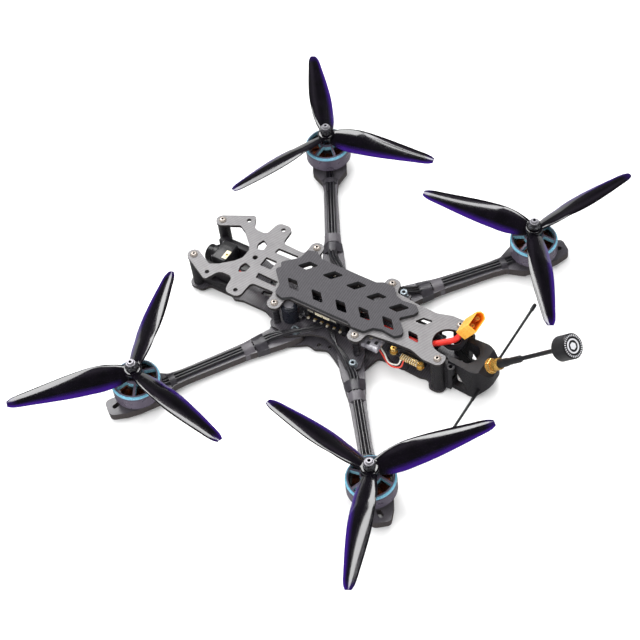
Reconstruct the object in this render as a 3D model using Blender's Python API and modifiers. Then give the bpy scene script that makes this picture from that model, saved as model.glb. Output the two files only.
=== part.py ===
"""Seven-inch FPV racing quadcopter, modelled as separate parts.

Dimensions are in millimetres; the helpers convert them to Blender's metres.
Frame: +Z up, +Y forward, +X starboard. The origin is the point midway between the
four motors, on the underside of the bottom plate.
"""

import math

import bmesh
import bpy
from mathutils import Matrix, Vector

MM = 0.001

# ---------------------------------------------------------------- driving dimensions
MOTOR_Y = 92.9            # front and rear motors sit this far from the origin
MOTOR_X_FRONT = 127.6     # half the front track
MOTOR_X_REAR = 116.5      # half the rear track
GAP = 0.3                 # clearance kept between neighbouring parts

# underside and top of each layer
BOTTOM_Z = (0.0, 2.5)
ARM_Z = (BOTTOM_Z[1] + GAP, 8.8)
MIDDLE_Z = (ARM_Z[1] + GAP, 11.1)
TOP_Z = (30.3, 32.8)
PAD_Z = (TOP_Z[1] + GAP, 35.9)
BAY_Z = (BOTTOM_Z[1] + GAP, TOP_Z[0] - GAP)   # clear height between bottom and top plates

SCREW_R = 1.5
HOLE_R = 1.8
STANDOFF_R = 2.6
SCREW_HEAD_R = 2.85
SCREW_HEAD_HEIGHT = 1.7

# starboard side, mirrored for the port side
STANDOFF_XY = {
    "nose": (18.9, 117.3),
    "front": (28.9, 39.8),
    "mid": (26.2, -26.1),
    "tail": (16.5, -86.9),
}
FRONT_ARM_BOLT, REAR_ARM_BOLT = ARM_BOLTS = [(30.2, 23.6), (36.0, -28.8)]

STACK_Y = 6.0             # centre of the electronics stack
STACK_HALF = 15.25        # half of the 30.5 mm hole pattern
STACK_HOLES = [(sx * STACK_HALF, STACK_Y + sy * STACK_HALF) for sx in (1, -1) for sy in (1, -1)]

# key: motor x, motor y, azimuth of one blade in degrees, rotation seen from above (+1 = CCW)
ROTORS = {
    "fl": (-MOTOR_X_FRONT, MOTOR_Y, 17.8, -1),
    "fr": (MOTOR_X_FRONT, MOTOR_Y, 38.9, 1),
    "rl": (-MOTOR_X_REAR, -MOTOR_Y, 82.2, 1),
    "rr": (MOTOR_X_REAR, -MOTOR_Y, 94.5, -1),
}
SIDES = ((-1, "left"), (1, "right"))

# ---------------------------------------------------------------- scene
for old in list(bpy.data.objects):
    bpy.data.objects.remove(old, do_unlink=True)

PARTS = bpy.data.collections.new("fpv_racing_drone")
CUTTERS = bpy.data.collections.new("cutters")
bpy.context.scene.collection.children.link(PARTS)
bpy.context.scene.collection.children.link(CUTTERS)


# ---------------------------------------------------------------- materials
def material(name, rgb, roughness, metallic=0.0):
    mat = bpy.data.materials.new(name)
    mat.use_nodes = True
    inputs = mat.node_tree.nodes["Principled BSDF"].inputs
    inputs["Base Color"].default_value = (*rgb, 1.0)
    inputs["Roughness"].default_value = roughness
    inputs["Metallic"].default_value = metallic
    return mat


CARBON = material("carbon_plate", rgb=(0.16, 0.16, 0.165), roughness=0.45)
CARBON_DARK = material("carbon_arm", rgb=(0.05, 0.048, 0.052), roughness=0.42)
PAD = material("battery_pad", rgb=(0.07, 0.07, 0.073), roughness=0.8)
TPU = material("tpu_black", rgb=(0.018, 0.016, 0.02), roughness=0.6)
ALU_BLACK = material("black_aluminium", rgb=(0.03, 0.03, 0.035), roughness=0.4, metallic=0.8)
STEEL = material("stator_steel", rgb=(0.25, 0.12, 0.06), roughness=0.4, metallic=0.9)
BELL = material("motor_bell", rgb=(0.12, 0.11, 0.13), roughness=0.35, metallic=0.9)
BASE = material("motor_base", rgb=(0.05, 0.05, 0.06), roughness=0.45, metallic=0.7)
PROP = material("propeller", rgb=(0.02, 0.012, 0.05), roughness=0.12)
NUT = material("prop_nut", rgb=(0.03, 0.03, 0.03), roughness=0.3, metallic=0.9)
BLACK = material("black_plastic", rgb=(0.015, 0.015, 0.016), roughness=0.35)
GLASS = material("lens", rgb=(0.02, 0.02, 0.03), roughness=0.1)
GOLD = material("gold_plated", rgb=(0.8, 0.55, 0.2), roughness=0.25, metallic=1.0)
YELLOW = material("plug_yellow", rgb=(0.9, 0.5, 0.05), roughness=0.4)
RED = material("wire_red", rgb=(0.7, 0.05, 0.03), roughness=0.45)
WIRE = material("wire_black", rgb=(0.02, 0.02, 0.022), roughness=0.5)
PCB = material("circuit_board", rgb=(0.02, 0.02, 0.025), roughness=0.5)
CLEAR = material("heat_shrink", rgb=(0.35, 0.35, 0.36), roughness=0.2)
TAN = material("button_tan", rgb=(0.6, 0.5, 0.35), roughness=0.5)


# ---------------------------------------------------------------- object helpers
def link(obj, collection=PARTS):
    for current in list(obj.users_collection):
        current.objects.unlink(obj)
    collection.objects.link(obj)
    return obj


def as_cutter(obj):
    link(obj, CUTTERS)
    obj.hide_render = True
    obj.display_type = "WIRE"


def finish(obj, mat):
    """Give a mesh its material, and smooth shading with edges over 35 degrees sharp."""
    obj.data.materials.clear()
    obj.data.materials.append(mat)
    obj.data.shade_smooth()
    obj.data.set_sharp_from_angle(angle=math.radians(35))
    return obj


def boolean(obj, tool, operation):
    as_cutter(tool)
    modifier = obj.modifiers.new(operation.lower(), "BOOLEAN")
    modifier.operation = operation
    modifier.solver = "EXACT"
    modifier.object = tool


def cut(obj, tool):
    boolean(obj, tool, "DIFFERENCE")


def join(obj, tool):
    boolean(obj, tool, "UNION")


def place(obj, point, degrees=(0, 0, 0)):
    obj.rotation_euler = [math.radians(angle) for angle in degrees]
    obj.location = [c * MM for c in point]
    return obj


# ---------------------------------------------------------------- outline helpers
def fillet(points, step=42.0):
    """Round the corners of a closed outline of (x, y, radius); step is degrees per segment."""
    out = []
    count = len(points)
    for i, (x, y, radius) in enumerate(points):
        corner = Vector((x, y))
        back = Vector(points[i - 1][:2]) - corner
        ahead = Vector(points[(i + 1) % count][:2]) - corner
        if radius <= 0 or back.length < 1e-6 or ahead.length < 1e-6:
            out.append((x, y))
            continue
        back_length, ahead_length = back.length, ahead.length
        back.normalize()
        ahead.normalize()
        angle = back.angle(ahead)
        if angle > math.radians(176):
            out.append((x, y))
            continue
        # the tangent points stay within their half of each edge
        tangent = min(radius / math.tan(angle / 2), back_length * 0.495, ahead_length * 0.495)
        fitted = tangent * math.tan(angle / 2)
        centre = corner + (back + ahead).normalized() * (fitted / math.sin(angle / 2))
        start = corner + back * tangent - centre
        end = corner + ahead * tangent - centre
        turn = math.pi - angle
        segments = max(1, int(math.ceil(math.degrees(turn) / step)))
        sign = 1 if start.x * end.y - start.y * end.x > 0 else -1
        for j in range(segments + 1):
            c = math.cos(sign * turn * j / segments)
            s = math.sin(sign * turn * j / segments)
            out.append((centre.x + start.x * c - start.y * s, centre.y + start.x * s + start.y * c))
    return out


def window(points, radius=0.8, step=60):
    """Outline of (x, y) points with one radius at every corner."""
    return fillet([(x, y, radius) for x, y in points], step)


def circle(x, y, radius=HOLE_R, segments=8):
    return [(x + radius * math.cos(2 * math.pi * i / segments),
             y + radius * math.sin(2 * math.pi * i / segments)) for i in range(segments)]


def flipped(points):
    return [(-p[0],) + tuple(p[1:]) for p in points]


def mirror_half(half):
    """Complete an outline from its starboard half, listed front to rear."""
    return half + flipped(p for p in reversed(half) if abs(p[0]) > 1e-6)


def both(shape):
    return [shape, flipped(shape)]


def hole_pairs(centres, radius=HOLE_R):
    """Holes at the starboard centres and at their mirror images."""
    return [loop for x, y in centres for loop in both(circle(x, y, radius))]


def smooth_path(points, steps=2):
    """Catmull-Rom curve through points, with this many steps for each span."""
    out = []
    for i in range(len(points) - 1):
        p0 = Vector(points[max(i - 1, 0)])
        p1, p2 = Vector(points[i]), Vector(points[i + 1])
        p3 = Vector(points[min(i + 2, len(points) - 1)])
        for k in range(steps):
            t = k / steps
            out.append(tuple(0.5 * ((2 * p1) + (p2 - p0) * t
                                    + (2 * p0 - 5 * p1 + 4 * p2 - p3) * t * t
                                    + (3 * p1 - p0 - 3 * p2 + p3) * t ** 3)))
    out.append(tuple(points[-1]))
    return out


# ---------------------------------------------------------------- solid helpers
def add_polyline(curve, points, closed=False):
    spline = curve.splines.new("POLY")
    spline.points.add(len(points) - 1)
    for target, (x, y, z) in zip(spline.points, points):
        target.co = (x * MM, y * MM, z * MM, 1)
    spline.use_cyclic_u = closed


def mesh_from_curve(curve_object, name, mat, lift=0.0):
    """Replace a curve object by a welded mesh, raised by lift."""
    bpy.context.view_layer.update()
    depsgraph = bpy.context.evaluated_depsgraph_get()
    mesh = bpy.data.meshes.new_from_object(curve_object.evaluated_get(depsgraph))
    bpy.data.objects.remove(curve_object)
    bm = bmesh.new()
    bm.from_mesh(mesh)
    bmesh.ops.remove_doubles(bm, verts=bm.verts, dist=1e-6)
    bmesh.ops.recalc_face_normals(bm, faces=bm.faces)
    bmesh.ops.translate(bm, verts=bm.verts, vec=(0, 0, lift * MM))
    bm.to_mesh(mesh)
    bm.free()
    mesh.name = name
    return finish(link(bpy.data.objects.new(name, mesh)), mat)


def flat(name, loops, z_range, mat):
    """Flat part: closed outlines, with the inner ones as holes, extruded over z_range."""
    low, high = z_range
    curve = bpy.data.curves.new(name, "CURVE")
    curve.dimensions = "2D"
    curve.fill_mode = "BOTH"
    curve.extrude = (high - low) / 2 * MM
    for loop in loops:
        add_polyline(curve, [(p[0], p[1], 0) for p in loop], closed=True)
    curve_object = link(bpy.data.objects.new(name + "_curve", curve))
    return mesh_from_curve(curve_object, name, mat, lift=(low + high) / 2)


def cylinder(name, radius, z_range, x=0, y=0, mat=None, segments=24):
    low, high = z_range
    bpy.ops.mesh.primitive_cone_add(
        vertices=segments, radius1=radius * MM, radius2=radius * MM, depth=(high - low) * MM,
        location=(x * MM, y * MM, (low + high) / 2 * MM))
    obj = link(bpy.context.object)
    obj.name = name
    if mat:
        finish(obj, mat)
    return obj


def pin(name, radius, length, centre, degrees, segments=24):
    """Cylinder about its own centre, turned from vertical."""
    return place(cylinder(name, radius, (0, length), segments=segments), centre, degrees)


def box(name, low, high, mat=None, bevel=0.0, bevel_segments=2):
    bpy.ops.mesh.primitive_cube_add(size=1, location=[(a + b) / 2 * MM for a, b in zip(low, high)])
    obj = bpy.context.object
    obj.name = name
    obj.scale = [(b - a) * MM for a, b in zip(low, high)]
    bpy.ops.object.transform_apply(location=False, rotation=False, scale=True)
    link(obj)
    if mat:
        finish(obj, mat)
    if bevel:
        modifier = obj.modifiers.new("bevel", "BEVEL")
        modifier.width = bevel * MM
        modifier.segments = bevel_segments
        modifier.limit_method = "ANGLE"
    return obj


def turned(name, profile, steps, mat, x=0, y=0):
    """Turned part: a profile of (radius, height), from the top down the outside to the
    bottom, spun by a Screw modifier. A profile that starts off the axis is closed."""
    mesh = bpy.data.meshes.new(name)
    bm = bmesh.new()
    verts = [bm.verts.new((radius * MM, 0, z * MM)) for radius, z in profile]
    for a, b in zip(verts, verts[1:]):
        bm.edges.new((a, b))
    if profile[0][0] > 0:
        bm.edges.new((verts[-1], verts[0]))
    bm.to_mesh(mesh)
    bm.free()
    mesh.materials.append(mat)
    obj = link(bpy.data.objects.new(name, mesh))
    spin = obj.modifiers.new("spin", "SCREW")
    spin.steps = spin.render_steps = steps
    spin.use_merge_vertices = True
    spin.merge_threshold = 0.00001
    spin.use_smooth_shade = True
    return place(obj, (x, y, 0))


def tube(name, points, mat, radius=None, section=None):
    """Capped wire along points, round or with the cross-section of a curve object."""
    curve = bpy.data.curves.new(name, "CURVE")
    curve.dimensions = "3D"
    curve.use_fill_caps = True
    if section:
        curve.bevel_mode = "OBJECT"
        curve.bevel_object = section
        curve.twist_mode = "Z_UP"
    else:
        curve.bevel_depth = radius * MM
        curve.bevel_resolution = 2
    add_polyline(curve, points)
    curve.materials.append(mat)
    return link(bpy.data.objects.new(name, curve))


# ---------------------------------------------------------------- top plate and battery pad
# Plate outlines are starboard halves, front to rear: x, y, corner radius.
LEAD_BAY_R, LEAD_BAY_Y = 10.9, -86.0     # round bay for the battery leads at the tail
TOP_HALF = [
    (0, 83.5, 0), (4.0, 83.5, 3), (9.2, 86.9, 6), (17.4, 96.0, 5), (20.9, 102.3, 2.5),
    (12.2, 119.5, 4.9), (21.1, 124.0, 4.9), (34.6, 97.2, 4.6), (30.1, 94.9, 3.0),
    (22.9, 91.6, 6.3), (22.9, 80.2, 6.3), (29.8, 79.4, 4.0), (36.6, 77.8, 5.6), (37.2, 65.4, 5.6),
    (27.0, 65.2, 2.0), (21.2, 64.6, 4.5), (20.6, 52.0, 8), (20.6, 45.4, 2.0),
    (33.9, 45.0, 4.9), (33.9, 34.8, 4.9), (20.6, 34.6, 2.0), (20.6, -20.4, 2.0),
    (31.1, -20.8, 4.8), (31.1, -31.4, 4.8), (20.9, -33.0, 3.0), (18.6, -52.0, 12),
    (18.0, -67.0, 10), (21.5, -78.0, 8), (21.5, -92.0, 4.9), (11.4, -92.0, 4.9), (11.2, -86.0, 0.5),
    *[(LEAD_BAY_R * math.cos(math.radians(angle)),
       LEAD_BAY_Y + LEAD_BAY_R * math.sin(math.radians(angle)), 0) for angle in (20, 38, 56, 74)],
    (0, -75.1, 0),
]
PAD_HALF = [
    (0, 52.2, 0), (3.6, 54.6, 1.5), (13.6, 44.4, 2.0), (22.4, 43.2, 2.5), (24.2, 36.0, 3.0),
    (19.9, 30.2, 3.0), (19.9, -16.4, 2.0), (22.6, -21.4, 2.5), (21.9, -31.0, 2.5),
    (16.3, -35.2, 2.0), (14.4, -41.5, 3.0), (15.6, -52.0, 2.5), (11.6, -56.4, 2.5),
    (7.4, -54.6, 1.5), (0, -46.8, 1.5),
]
# slanted windows shared by the top plate and the pad, starboard side
CUTOUT_CENTRES = [(9.9, 35.3), (10.8, 14.6), (10.6, -5.4), (8.5, -23.3), (7.6, -42.3)]
CUTOUT_MARGIN = 0.5       # the top plate's windows are this much larger
OPEN_HOLES = [(27.9, 99.4), (32.1, 71.3)]
OPEN_HOLE_R = 1.7


def slanted_cutouts(grow=0.0):
    """Parallelogram windows on both sides."""
    loops = []
    for x, y in CUTOUT_CENTRES:
        loops += both(window([(x - 3.6 - grow, y + 7.2 + grow), (x - 3.9 - grow, y - 0.8),
                              (x + 3.6 + grow, y - 7.2 - grow), (x + 3.9 + grow, y + 0.8)],
                             step=120))
    return loops


def make_top_plate():
    loops = [fillet(mirror_half(TOP_HALF))]
    loops += hole_pairs(STANDOFF_XY.values())
    loops += hole_pairs(OPEN_HOLES, OPEN_HOLE_R)
    loops += both(fillet([(7.3, 79.1, 1.2), (8.8, 73.6, 1.5), (14.4, 74.3, 1.5),
                          (17.3, 79.2, 1.2), (12.0, 80.8, 2)], 45))
    loops += both(window([(10.8, 65.4), (15.6, 64.7), (16.0, 47.4), (11.2, 48.0)]))
    loops.append(circle(0, 75.4, 2.0))
    loops.append(window([(-4.3, 68.4), (4.3, 68.4), (4.3, 58.8), (-4.3, 58.8)]))
    loops += both(window([(4.3, -56.6), (10.2, -60.6), (11.0, -68.6), (5.0, -64.6)]))
    loops += slanted_cutouts(CUTOUT_MARGIN)
    flat("top_plate", loops, TOP_Z, CARBON)


def make_battery_pad():
    flat("battery_pad", [fillet(mirror_half(PAD_HALF))] + slanted_cutouts(), PAD_Z, PAD)


# ---------------------------------------------------------------- bottom and middle plates
BOTTOM_HALF = [
    (0, 121.0, 0), (10.0, 121.0, 3), (13.5, 123.6, 2), (25.4, 123.6, 5.5), (25.4, 110.8, 4),
    (19.4, 107.6, 4), (19.4, 88.0, 4), (21.6, 84.0, 3), (19.6, 77.5, 4), (19.6, 58.0, 6),
    (24.0, 46.6, 2), (34.6, 45.6, 5.0), (34.6, 34.0, 5), (40.0, 27.0, 3), (31.0, 13.0, 4),
    (32.2, 6.4, 3), (28.4, -1.8, 6), (32.4, -9.6, 3), (41.8, -25.0, 3), (39.4, -35.4, 4),
    (30.0, -34.5, 4), (16.8, -38.0, 4), (16.2, -57.0, 10), (17.0, -72.0, 6), (15.4, -78.5, 4),
    (21.9, -82.0, 4), (21.9, -92.3, 5), (11.0, -92.3, 4), (9.0, -84.0, 4), (0, -82.0, 0),
]
MIDDLE_HALF = [
    (0, 34.0, 0), (17.5, 34.0, 3), (23.6, 44.6, 3), (34.2, 45.0, 5.0), (34.6, 35.0, 5),
    (38.0, 27.6, 4), (27.0, 12.0, 5), (24.5, 2.0, 6), (28.0, -9.0, 5), (41.2, -26.0, 4),
    (37.4, -35.6, 4), (24.0, -31.6, 4), (17.0, -27.0, 4), (0, -27.0, 0),
]
TAIL_WINDOW_YS = (-46.0, -60.0)


def make_bottom_plate():
    loops = [fillet(mirror_half(BOTTOM_HALF))]
    loops += hole_pairs(STANDOFF_XY.values())
    loops += hole_pairs(ARM_BOLTS)
    loops += both(window([(4.4, 69.5), (8.2, 69.0), (7.0, 61.5), (3.6, 61.8)]))
    loops += both(window([(5.0, 104.0), (13.0, 104.0), (13.0, 92.0), (5.0, 90.0)], radius=1))
    loops.append(window([(-5.0, 54.0), (5.0, 54.0), (5.0, 42.0), (-5.0, 42.0)], radius=1))
    loops += [circle(x, y) for x, y in STACK_HOLES]
    for y in TAIL_WINDOW_YS:
        loops.append(window([(-8, y + 4), (8, y + 4), (8, y - 4), (-8, y - 4)], radius=1.5))
    loops += both(circle(27.6, 5.6, 1.6))
    loops += both(circle(25.4, -2.2, 1.2, segments=6))
    flat("bottom_plate", loops, BOTTOM_Z, CARBON_DARK)


def make_middle_plate():
    loops = [fillet(mirror_half(MIDDLE_HALF))]
    loops += hole_pairs([STANDOFF_XY["front"], STANDOFF_XY["mid"]])
    loops += hole_pairs(ARM_BOLTS)
    loops += [circle(x, y) for x, y in STACK_HOLES]
    loops.append(circle(0, STACK_Y, 6.0, segments=12))
    flat("middle_plate", loops, MIDDLE_Z, CARBON_DARK)


# ---------------------------------------------------------------- arms
ARM_ROOT = {"f": (21.6, 22.4), "r": (22.6, -16.9)}    # start of the centre line, starboard
MOTOR_BOLT_CIRCLE_R = 9.5
SHAFT_HOLE_R = 3.6

# Arm outlines are in arm axes from the motor: outward, toward the tail side, corner radius.
ARM_EAR = [(25.2, 3.0, 0), (25.2, 8.8, 6.6), (14.0, 12.4, 4), (6.0, 13.4, 4)]
ARM_FORE_SIDE_END = [(10.0, -13.0, 4), (15.0, -4.8, 4), (25.2, -4.8, 6.6)]
EAR_SLOT = [(14.8, 3.0), (20.8, 5.2), (22.0, 2.0), (16.0, -0.2)]     # no corner radius column
EAR_SLOT_CORNER_R = 1.75


def side_of(key):
    """-1 for a port motor, 1 for a starboard one."""
    return -1 if ROTORS[key][0] < 0 else 1


def arm_frame(key):
    """Motor position, unit vectors outward along the arm and across it, and arm length."""
    root_x, root_y = ARM_ROOT[key[0]]
    motor = Vector(ROTORS[key][:2])
    x, y = ROTORS[key][:2]
    outward = Vector((x - side_of(key) * root_x, y - root_y)).normalized()
    across = Vector((-outward.y, outward.x))
    length = (motor - Vector((side_of(key) * root_x, root_y))).length
    return motor, outward, across, length


def arm_outline(length):
    flank = [(-13.0, 13.2, 4), (-24.0, 6.0, 6), (-34.0, 5.2, 10), (-length + 46, 5.9, 10),
             (-length + 22, 8.6, 10), (-length + 4, 9.4, 4)]
    far_flank = [(u, -v, radius) for u, v, radius in reversed(flank)]
    return ARM_EAR + flank + [(-length, 0, 0)] + far_flank + ARM_FORE_SIDE_END


def make_arm(key):
    motor, outward, across, length = arm_frame(key)
    side = side_of(key)
    aft = -side           # sign of "across" that points toward the tail

    def to_world(points):
        return [tuple(motor + outward * p[0] + across * (aft * p[1])) + tuple(p[2:])
                for p in points]

    loops = [fillet(to_world(arm_outline(length)))]
    loops.append(to_world(window(EAR_SLOT, EAR_SLOT_CORNER_R, step=45)))
    loops.append(circle(*ROTORS[key][:2], SHAFT_HOLE_R, segments=12))
    for degrees in (45, 135, 225, 315):
        angle = math.radians(degrees)
        hole = (motor + outward * MOTOR_BOLT_CIRCLE_R * math.cos(angle)
                + across * MOTOR_BOLT_CIRCLE_R * math.sin(angle))
        loops.append(circle(hole.x, hole.y))
    if key[0] == "f":
        frame_holes = [FRONT_ARM_BOLT]
    else:
        frame_holes = [REAR_ARM_BOLT, STANDOFF_XY["mid"]]
    loops += [circle(side * x, y) for x, y in frame_holes]
    flat("arm_" + key, loops, ARM_Z, CARBON_DARK)


# ---------------------------------------------------------------- standoffs
def make_standoffs():
    """Each standoff is one solid with its upper and lower screws."""
    top = BAY_Z[1]
    upper_head, lower_head = TOP_Z[1] + GAP, BOTTOM_Z[0] - GAP
    for key, (x, y) in STANDOFF_XY.items():
        foot = BAY_Z[0] if key in ("nose", "tail") else MIDDLE_Z[1] + GAP
        profile = [
            (0, upper_head + SCREW_HEAD_HEIGHT), (SCREW_HEAD_R - 0.5, upper_head + SCREW_HEAD_HEIGHT),
            (SCREW_HEAD_R, upper_head), (SCREW_R, upper_head), (SCREW_R, top),
            (STANDOFF_R, top), (STANDOFF_R, foot), (SCREW_R, foot),
            (SCREW_R, lower_head), (SCREW_HEAD_R, lower_head),
            (SCREW_HEAD_R - 0.5, lower_head - SCREW_HEAD_HEIGHT),
            (0, lower_head - SCREW_HEAD_HEIGHT),
        ]
        for side, tag in SIDES:
            turned(f"standoff_{key}_{tag}", profile, 8, ALU_BLACK, side * x, y)


# ---------------------------------------------------------------- motors
BELL_R = 17.5
BELL_INNER_R = 15.9
BELL_Z = (13.5, 25.8)
SEAT_Z = 31.0             # propeller seat on the bell
SHAFT_R = 2.4
SHAFT_Z = (10.4, 46.5)
STATOR_R = 14.6
STATOR_BORE_R = 5.35
STATOR_Z = (13.4, 21.6)
STATOR_TEETH = 12
# one tooth: angle from its centre line in radians, radius
STATOR_TOOTH = [(-0.16, 8.6), (-0.2, STATOR_R), (0.2, STATOR_R), (0.16, 8.6)]

# radius, height
MOTOR_BASE_PROFILE = [
    (2.9, 23.4), (4.9, 23.4), (4.9, 11.1), (12.6, 11.1), (12.6, ARM_Z[1] + GAP),
    (2.9, ARM_Z[1] + GAP),
]
BELL_PROFILE = [
    (0, SHAFT_Z[1]), (SHAFT_R, SHAFT_Z[1]), (SHAFT_R, SEAT_Z), (6.2, SEAT_Z), (6.8, 30.0),
    (16.6, BELL_Z[1] + 0.5), (BELL_R, BELL_Z[1] - 0.4), (BELL_R, BELL_Z[0]),
    (BELL_INNER_R, BELL_Z[0]), (BELL_INNER_R, 23.0), (6.8, 26.6), (6.0, 24.4), (SHAFT_R, 24.4),
    (SHAFT_R, SHAFT_Z[0]), (0, SHAFT_Z[0]),
]
BELL_WINDOWS = 6
BELL_WINDOW_START = 15    # degrees
BELL_WINDOW_R = 11.2      # from the motor axis to the window's centre
BELL_WINDOW_Z = 27.5
BELL_WINDOW_SIZE = (7.4, 7.6, 12)


def make_stator(key, x, y):
    outline = []
    for i in range(STATOR_TEETH):
        centre_angle = 2 * math.pi * i / STATOR_TEETH
        for offset, radius in STATOR_TOOTH:
            outline.append((x + radius * math.cos(centre_angle + offset),
                            y + radius * math.sin(centre_angle + offset)))
    bore = circle(x, y, STATOR_BORE_R, segments=12)
    flat("stator_" + key, [outline, bore], STATOR_Z, STEEL)


def bell_windows(key, x, y):
    """Blocks that cut the sloping top of the bell into spokes."""
    bm = bmesh.new()
    for i in range(BELL_WINDOWS):
        angle = math.radians(360 // BELL_WINDOWS * i + BELL_WINDOW_START)
        matrix = (Matrix.Translation((0, 0, BELL_WINDOW_Z * MM)) @ Matrix.Rotation(angle, 4, "Z")
                  @ Matrix.Translation((BELL_WINDOW_R * MM, 0, 0))
                  @ Matrix.Diagonal([size * MM for size in BELL_WINDOW_SIZE] + [1]))
        bmesh.ops.create_cube(bm, size=1, matrix=matrix)
    name = "bell_windows_" + key
    mesh = bpy.data.meshes.new(name)
    bm.to_mesh(mesh)
    bm.free()
    return place(link(bpy.data.objects.new(name, mesh)), (x, y, 0))


def make_motor(key, x, y):
    turned("motor_base_" + key, MOTOR_BASE_PROFILE, 14, BASE, x, y)
    make_stator(key, x, y)
    bell = turned("bell_" + key, BELL_PROFILE, 16, BELL, x, y)
    cut(bell, bell_windows(key, x, y))


# ---------------------------------------------------------------- propellers
PROP_RADIUS = 88.9                # seven-inch propeller
PROP_PITCH = 3.6 * 25.4           # 3.6 inches of advance per turn
PROP_PLANE_Z = 37.0
HUB_R, HUB_TOP_Z = 6.6, 38.7
BLADE_COUNT = 3
PITCH_MIN_R = 26.0                # nearer the hub the blade angle is constant
ROOT_DROP, ROOT_DROP_END_R = 1.9, 30.0        # the blade sinks toward the hub inside this radius
BLADE_THICKNESS, BLADE_TAPER = 2.6, 1.7       # thickness on the axis, and its loss by the tip
CAMBER = 0.05                     # as a fraction of the chord
BLADE_STATIONS = [4.0, 13.0, 24.0, 38.0, 56.0, 76.0, PROP_RADIUS]
CHORD_FRACTIONS = [0.0, 0.2, 0.6, 1.0]
# radius, chord
CHORDS = [(4, 10.4), (10, 14.6), (20, 18.4), (32, 18.8), (45, 17.6), (60, 14.6), (74, 11.1),
          (84, 8.4), (PROP_RADIUS, 5.0)]

NUT_Z = (HUB_TOP_Z + GAP, 43.6)
COLLAR_Z = (43.0, 45.2)


def chord_at(radius):
    """Blade chord, linear between the stations of CHORDS."""
    for (r0, c0), (r1, c1) in zip(CHORDS, CHORDS[1:]):
        if radius <= r1:
            return c0 + (c1 - c0) * (radius - r0) / (r1 - r0)


def blade_section(radius):
    """Closed section as (position along the chord, height), before it is pitched."""
    chord = chord_at(radius)
    thickness = BLADE_THICKNESS - BLADE_TAPER * (radius / PROP_RADIUS)

    def camber(f):
        return CAMBER * chord * math.sin(math.pi * f)

    def upper(f):
        fullness = 0.35 + 0.65 * math.sin(math.pi * min(1, f + 0.08)) ** 0.6
        return 0.5 * thickness * fullness + camber(f)

    def lower(f):
        return -0.5 * thickness * (0.35 + 0.4 * math.sin(math.pi * f)) + camber(f)

    return ([((0.5 - f) * chord, upper(f)) for f in CHORD_FRACTIONS]
            + [((0.5 - f) * chord, lower(f)) for f in reversed(CHORD_FRACTIONS)])


def make_blade(name, x, y, azimuth, spin):
    """One blade: a loft of thin cambered sections from the hub to the tip."""
    outward = Vector((math.cos(azimuth), math.sin(azimuth), 0))
    forward = Vector((-math.sin(azimuth), math.cos(azimuth), 0)) * spin
    bm = bmesh.new()
    rings = []
    for radius in BLADE_STATIONS:
        pitch = math.atan2(PROP_PITCH / (2 * math.pi), max(radius, PITCH_MIN_R))
        drop = ROOT_DROP * max(0.0, 1 - radius / ROOT_DROP_END_R)
        centre = Vector((x, y, PROP_PLANE_Z - drop))
        ring = []
        for s, h in blade_section(radius):
            point = (centre + outward * radius
                     + forward * (s * math.cos(pitch) - h * math.sin(pitch))
                     + Vector((0, 0, s * math.sin(pitch) + h * math.cos(pitch))))
            ring.append(bm.verts.new(point * MM))
        rings.append(ring)
    count = len(rings[0])
    for a, b in zip(rings, rings[1:]):
        for i in range(count):
            j = (i + 1) % count
            bm.faces.new((a[i], a[j], b[j], b[i]))
    bm.faces.new(rings[0])
    bm.faces.new(list(reversed(rings[-1])))
    bmesh.ops.recalc_face_normals(bm, faces=bm.faces)
    mesh = bpy.data.meshes.new(name)
    bm.to_mesh(mesh)
    bm.free()
    return finish(link(bpy.data.objects.new(name, mesh)), PROP)


def make_propeller(key, x, y, azimuth, spin):
    hub = cylinder("propeller_" + key, HUB_R, (SEAT_Z + GAP, HUB_TOP_Z), x, y, PROP, 16)
    for i in range(BLADE_COUNT):
        blade_azimuth = math.radians(azimuth + 360 // BLADE_COUNT * i)
        join(hub, make_blade(f"blade_{key}_{i}", x, y, blade_azimuth, spin))
    cut(hub, cylinder("prop_bore_" + key, SHAFT_R + GAP, (20, 50), x, y, segments=10))


def make_prop_nut(key, x, y):
    nut = cylinder("prop_nut_" + key, 4.7, NUT_Z, x, y, NUT, 6)
    join(nut, cylinder("nut_collar_" + key, 3.6, COLLAR_Z, x, y, segments=12))
    cut(nut, cylinder("nut_bore_" + key, SHAFT_R + GAP, (30, 50), x, y, segments=10))


# ---------------------------------------------------------------- motor leads
LEAD_WIRE_R = 1.15
LEAD_WIRE_PITCH = 2 * LEAD_WIRE_R


def lead_section(key):
    """Cross-section of three wires side by side, as a closed curve object."""
    edge = LEAD_WIRE_PITCH + LEAD_WIRE_R
    upper = []
    for k in (1, 0, -1):
        for degrees in (50, 130):
            angle = math.radians(degrees)
            upper.append((k * LEAD_WIRE_PITCH + LEAD_WIRE_R * math.cos(angle),
                          LEAD_WIRE_R * math.sin(angle)))
    lower = [(x, -y) for x, y in reversed(upper)]
    outline = [(edge, 0.0)] + upper + [(-edge, 0.0)] + lower
    curve = bpy.data.curves.new(f"motor_leads_{key}_section", "CURVE")
    curve.dimensions = "2D"
    add_polyline(curve, [(x, y, 0) for x, y in outline], closed=True)
    section = bpy.data.objects.new(curve.name, curve)
    as_cutter(section)
    return section


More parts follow.
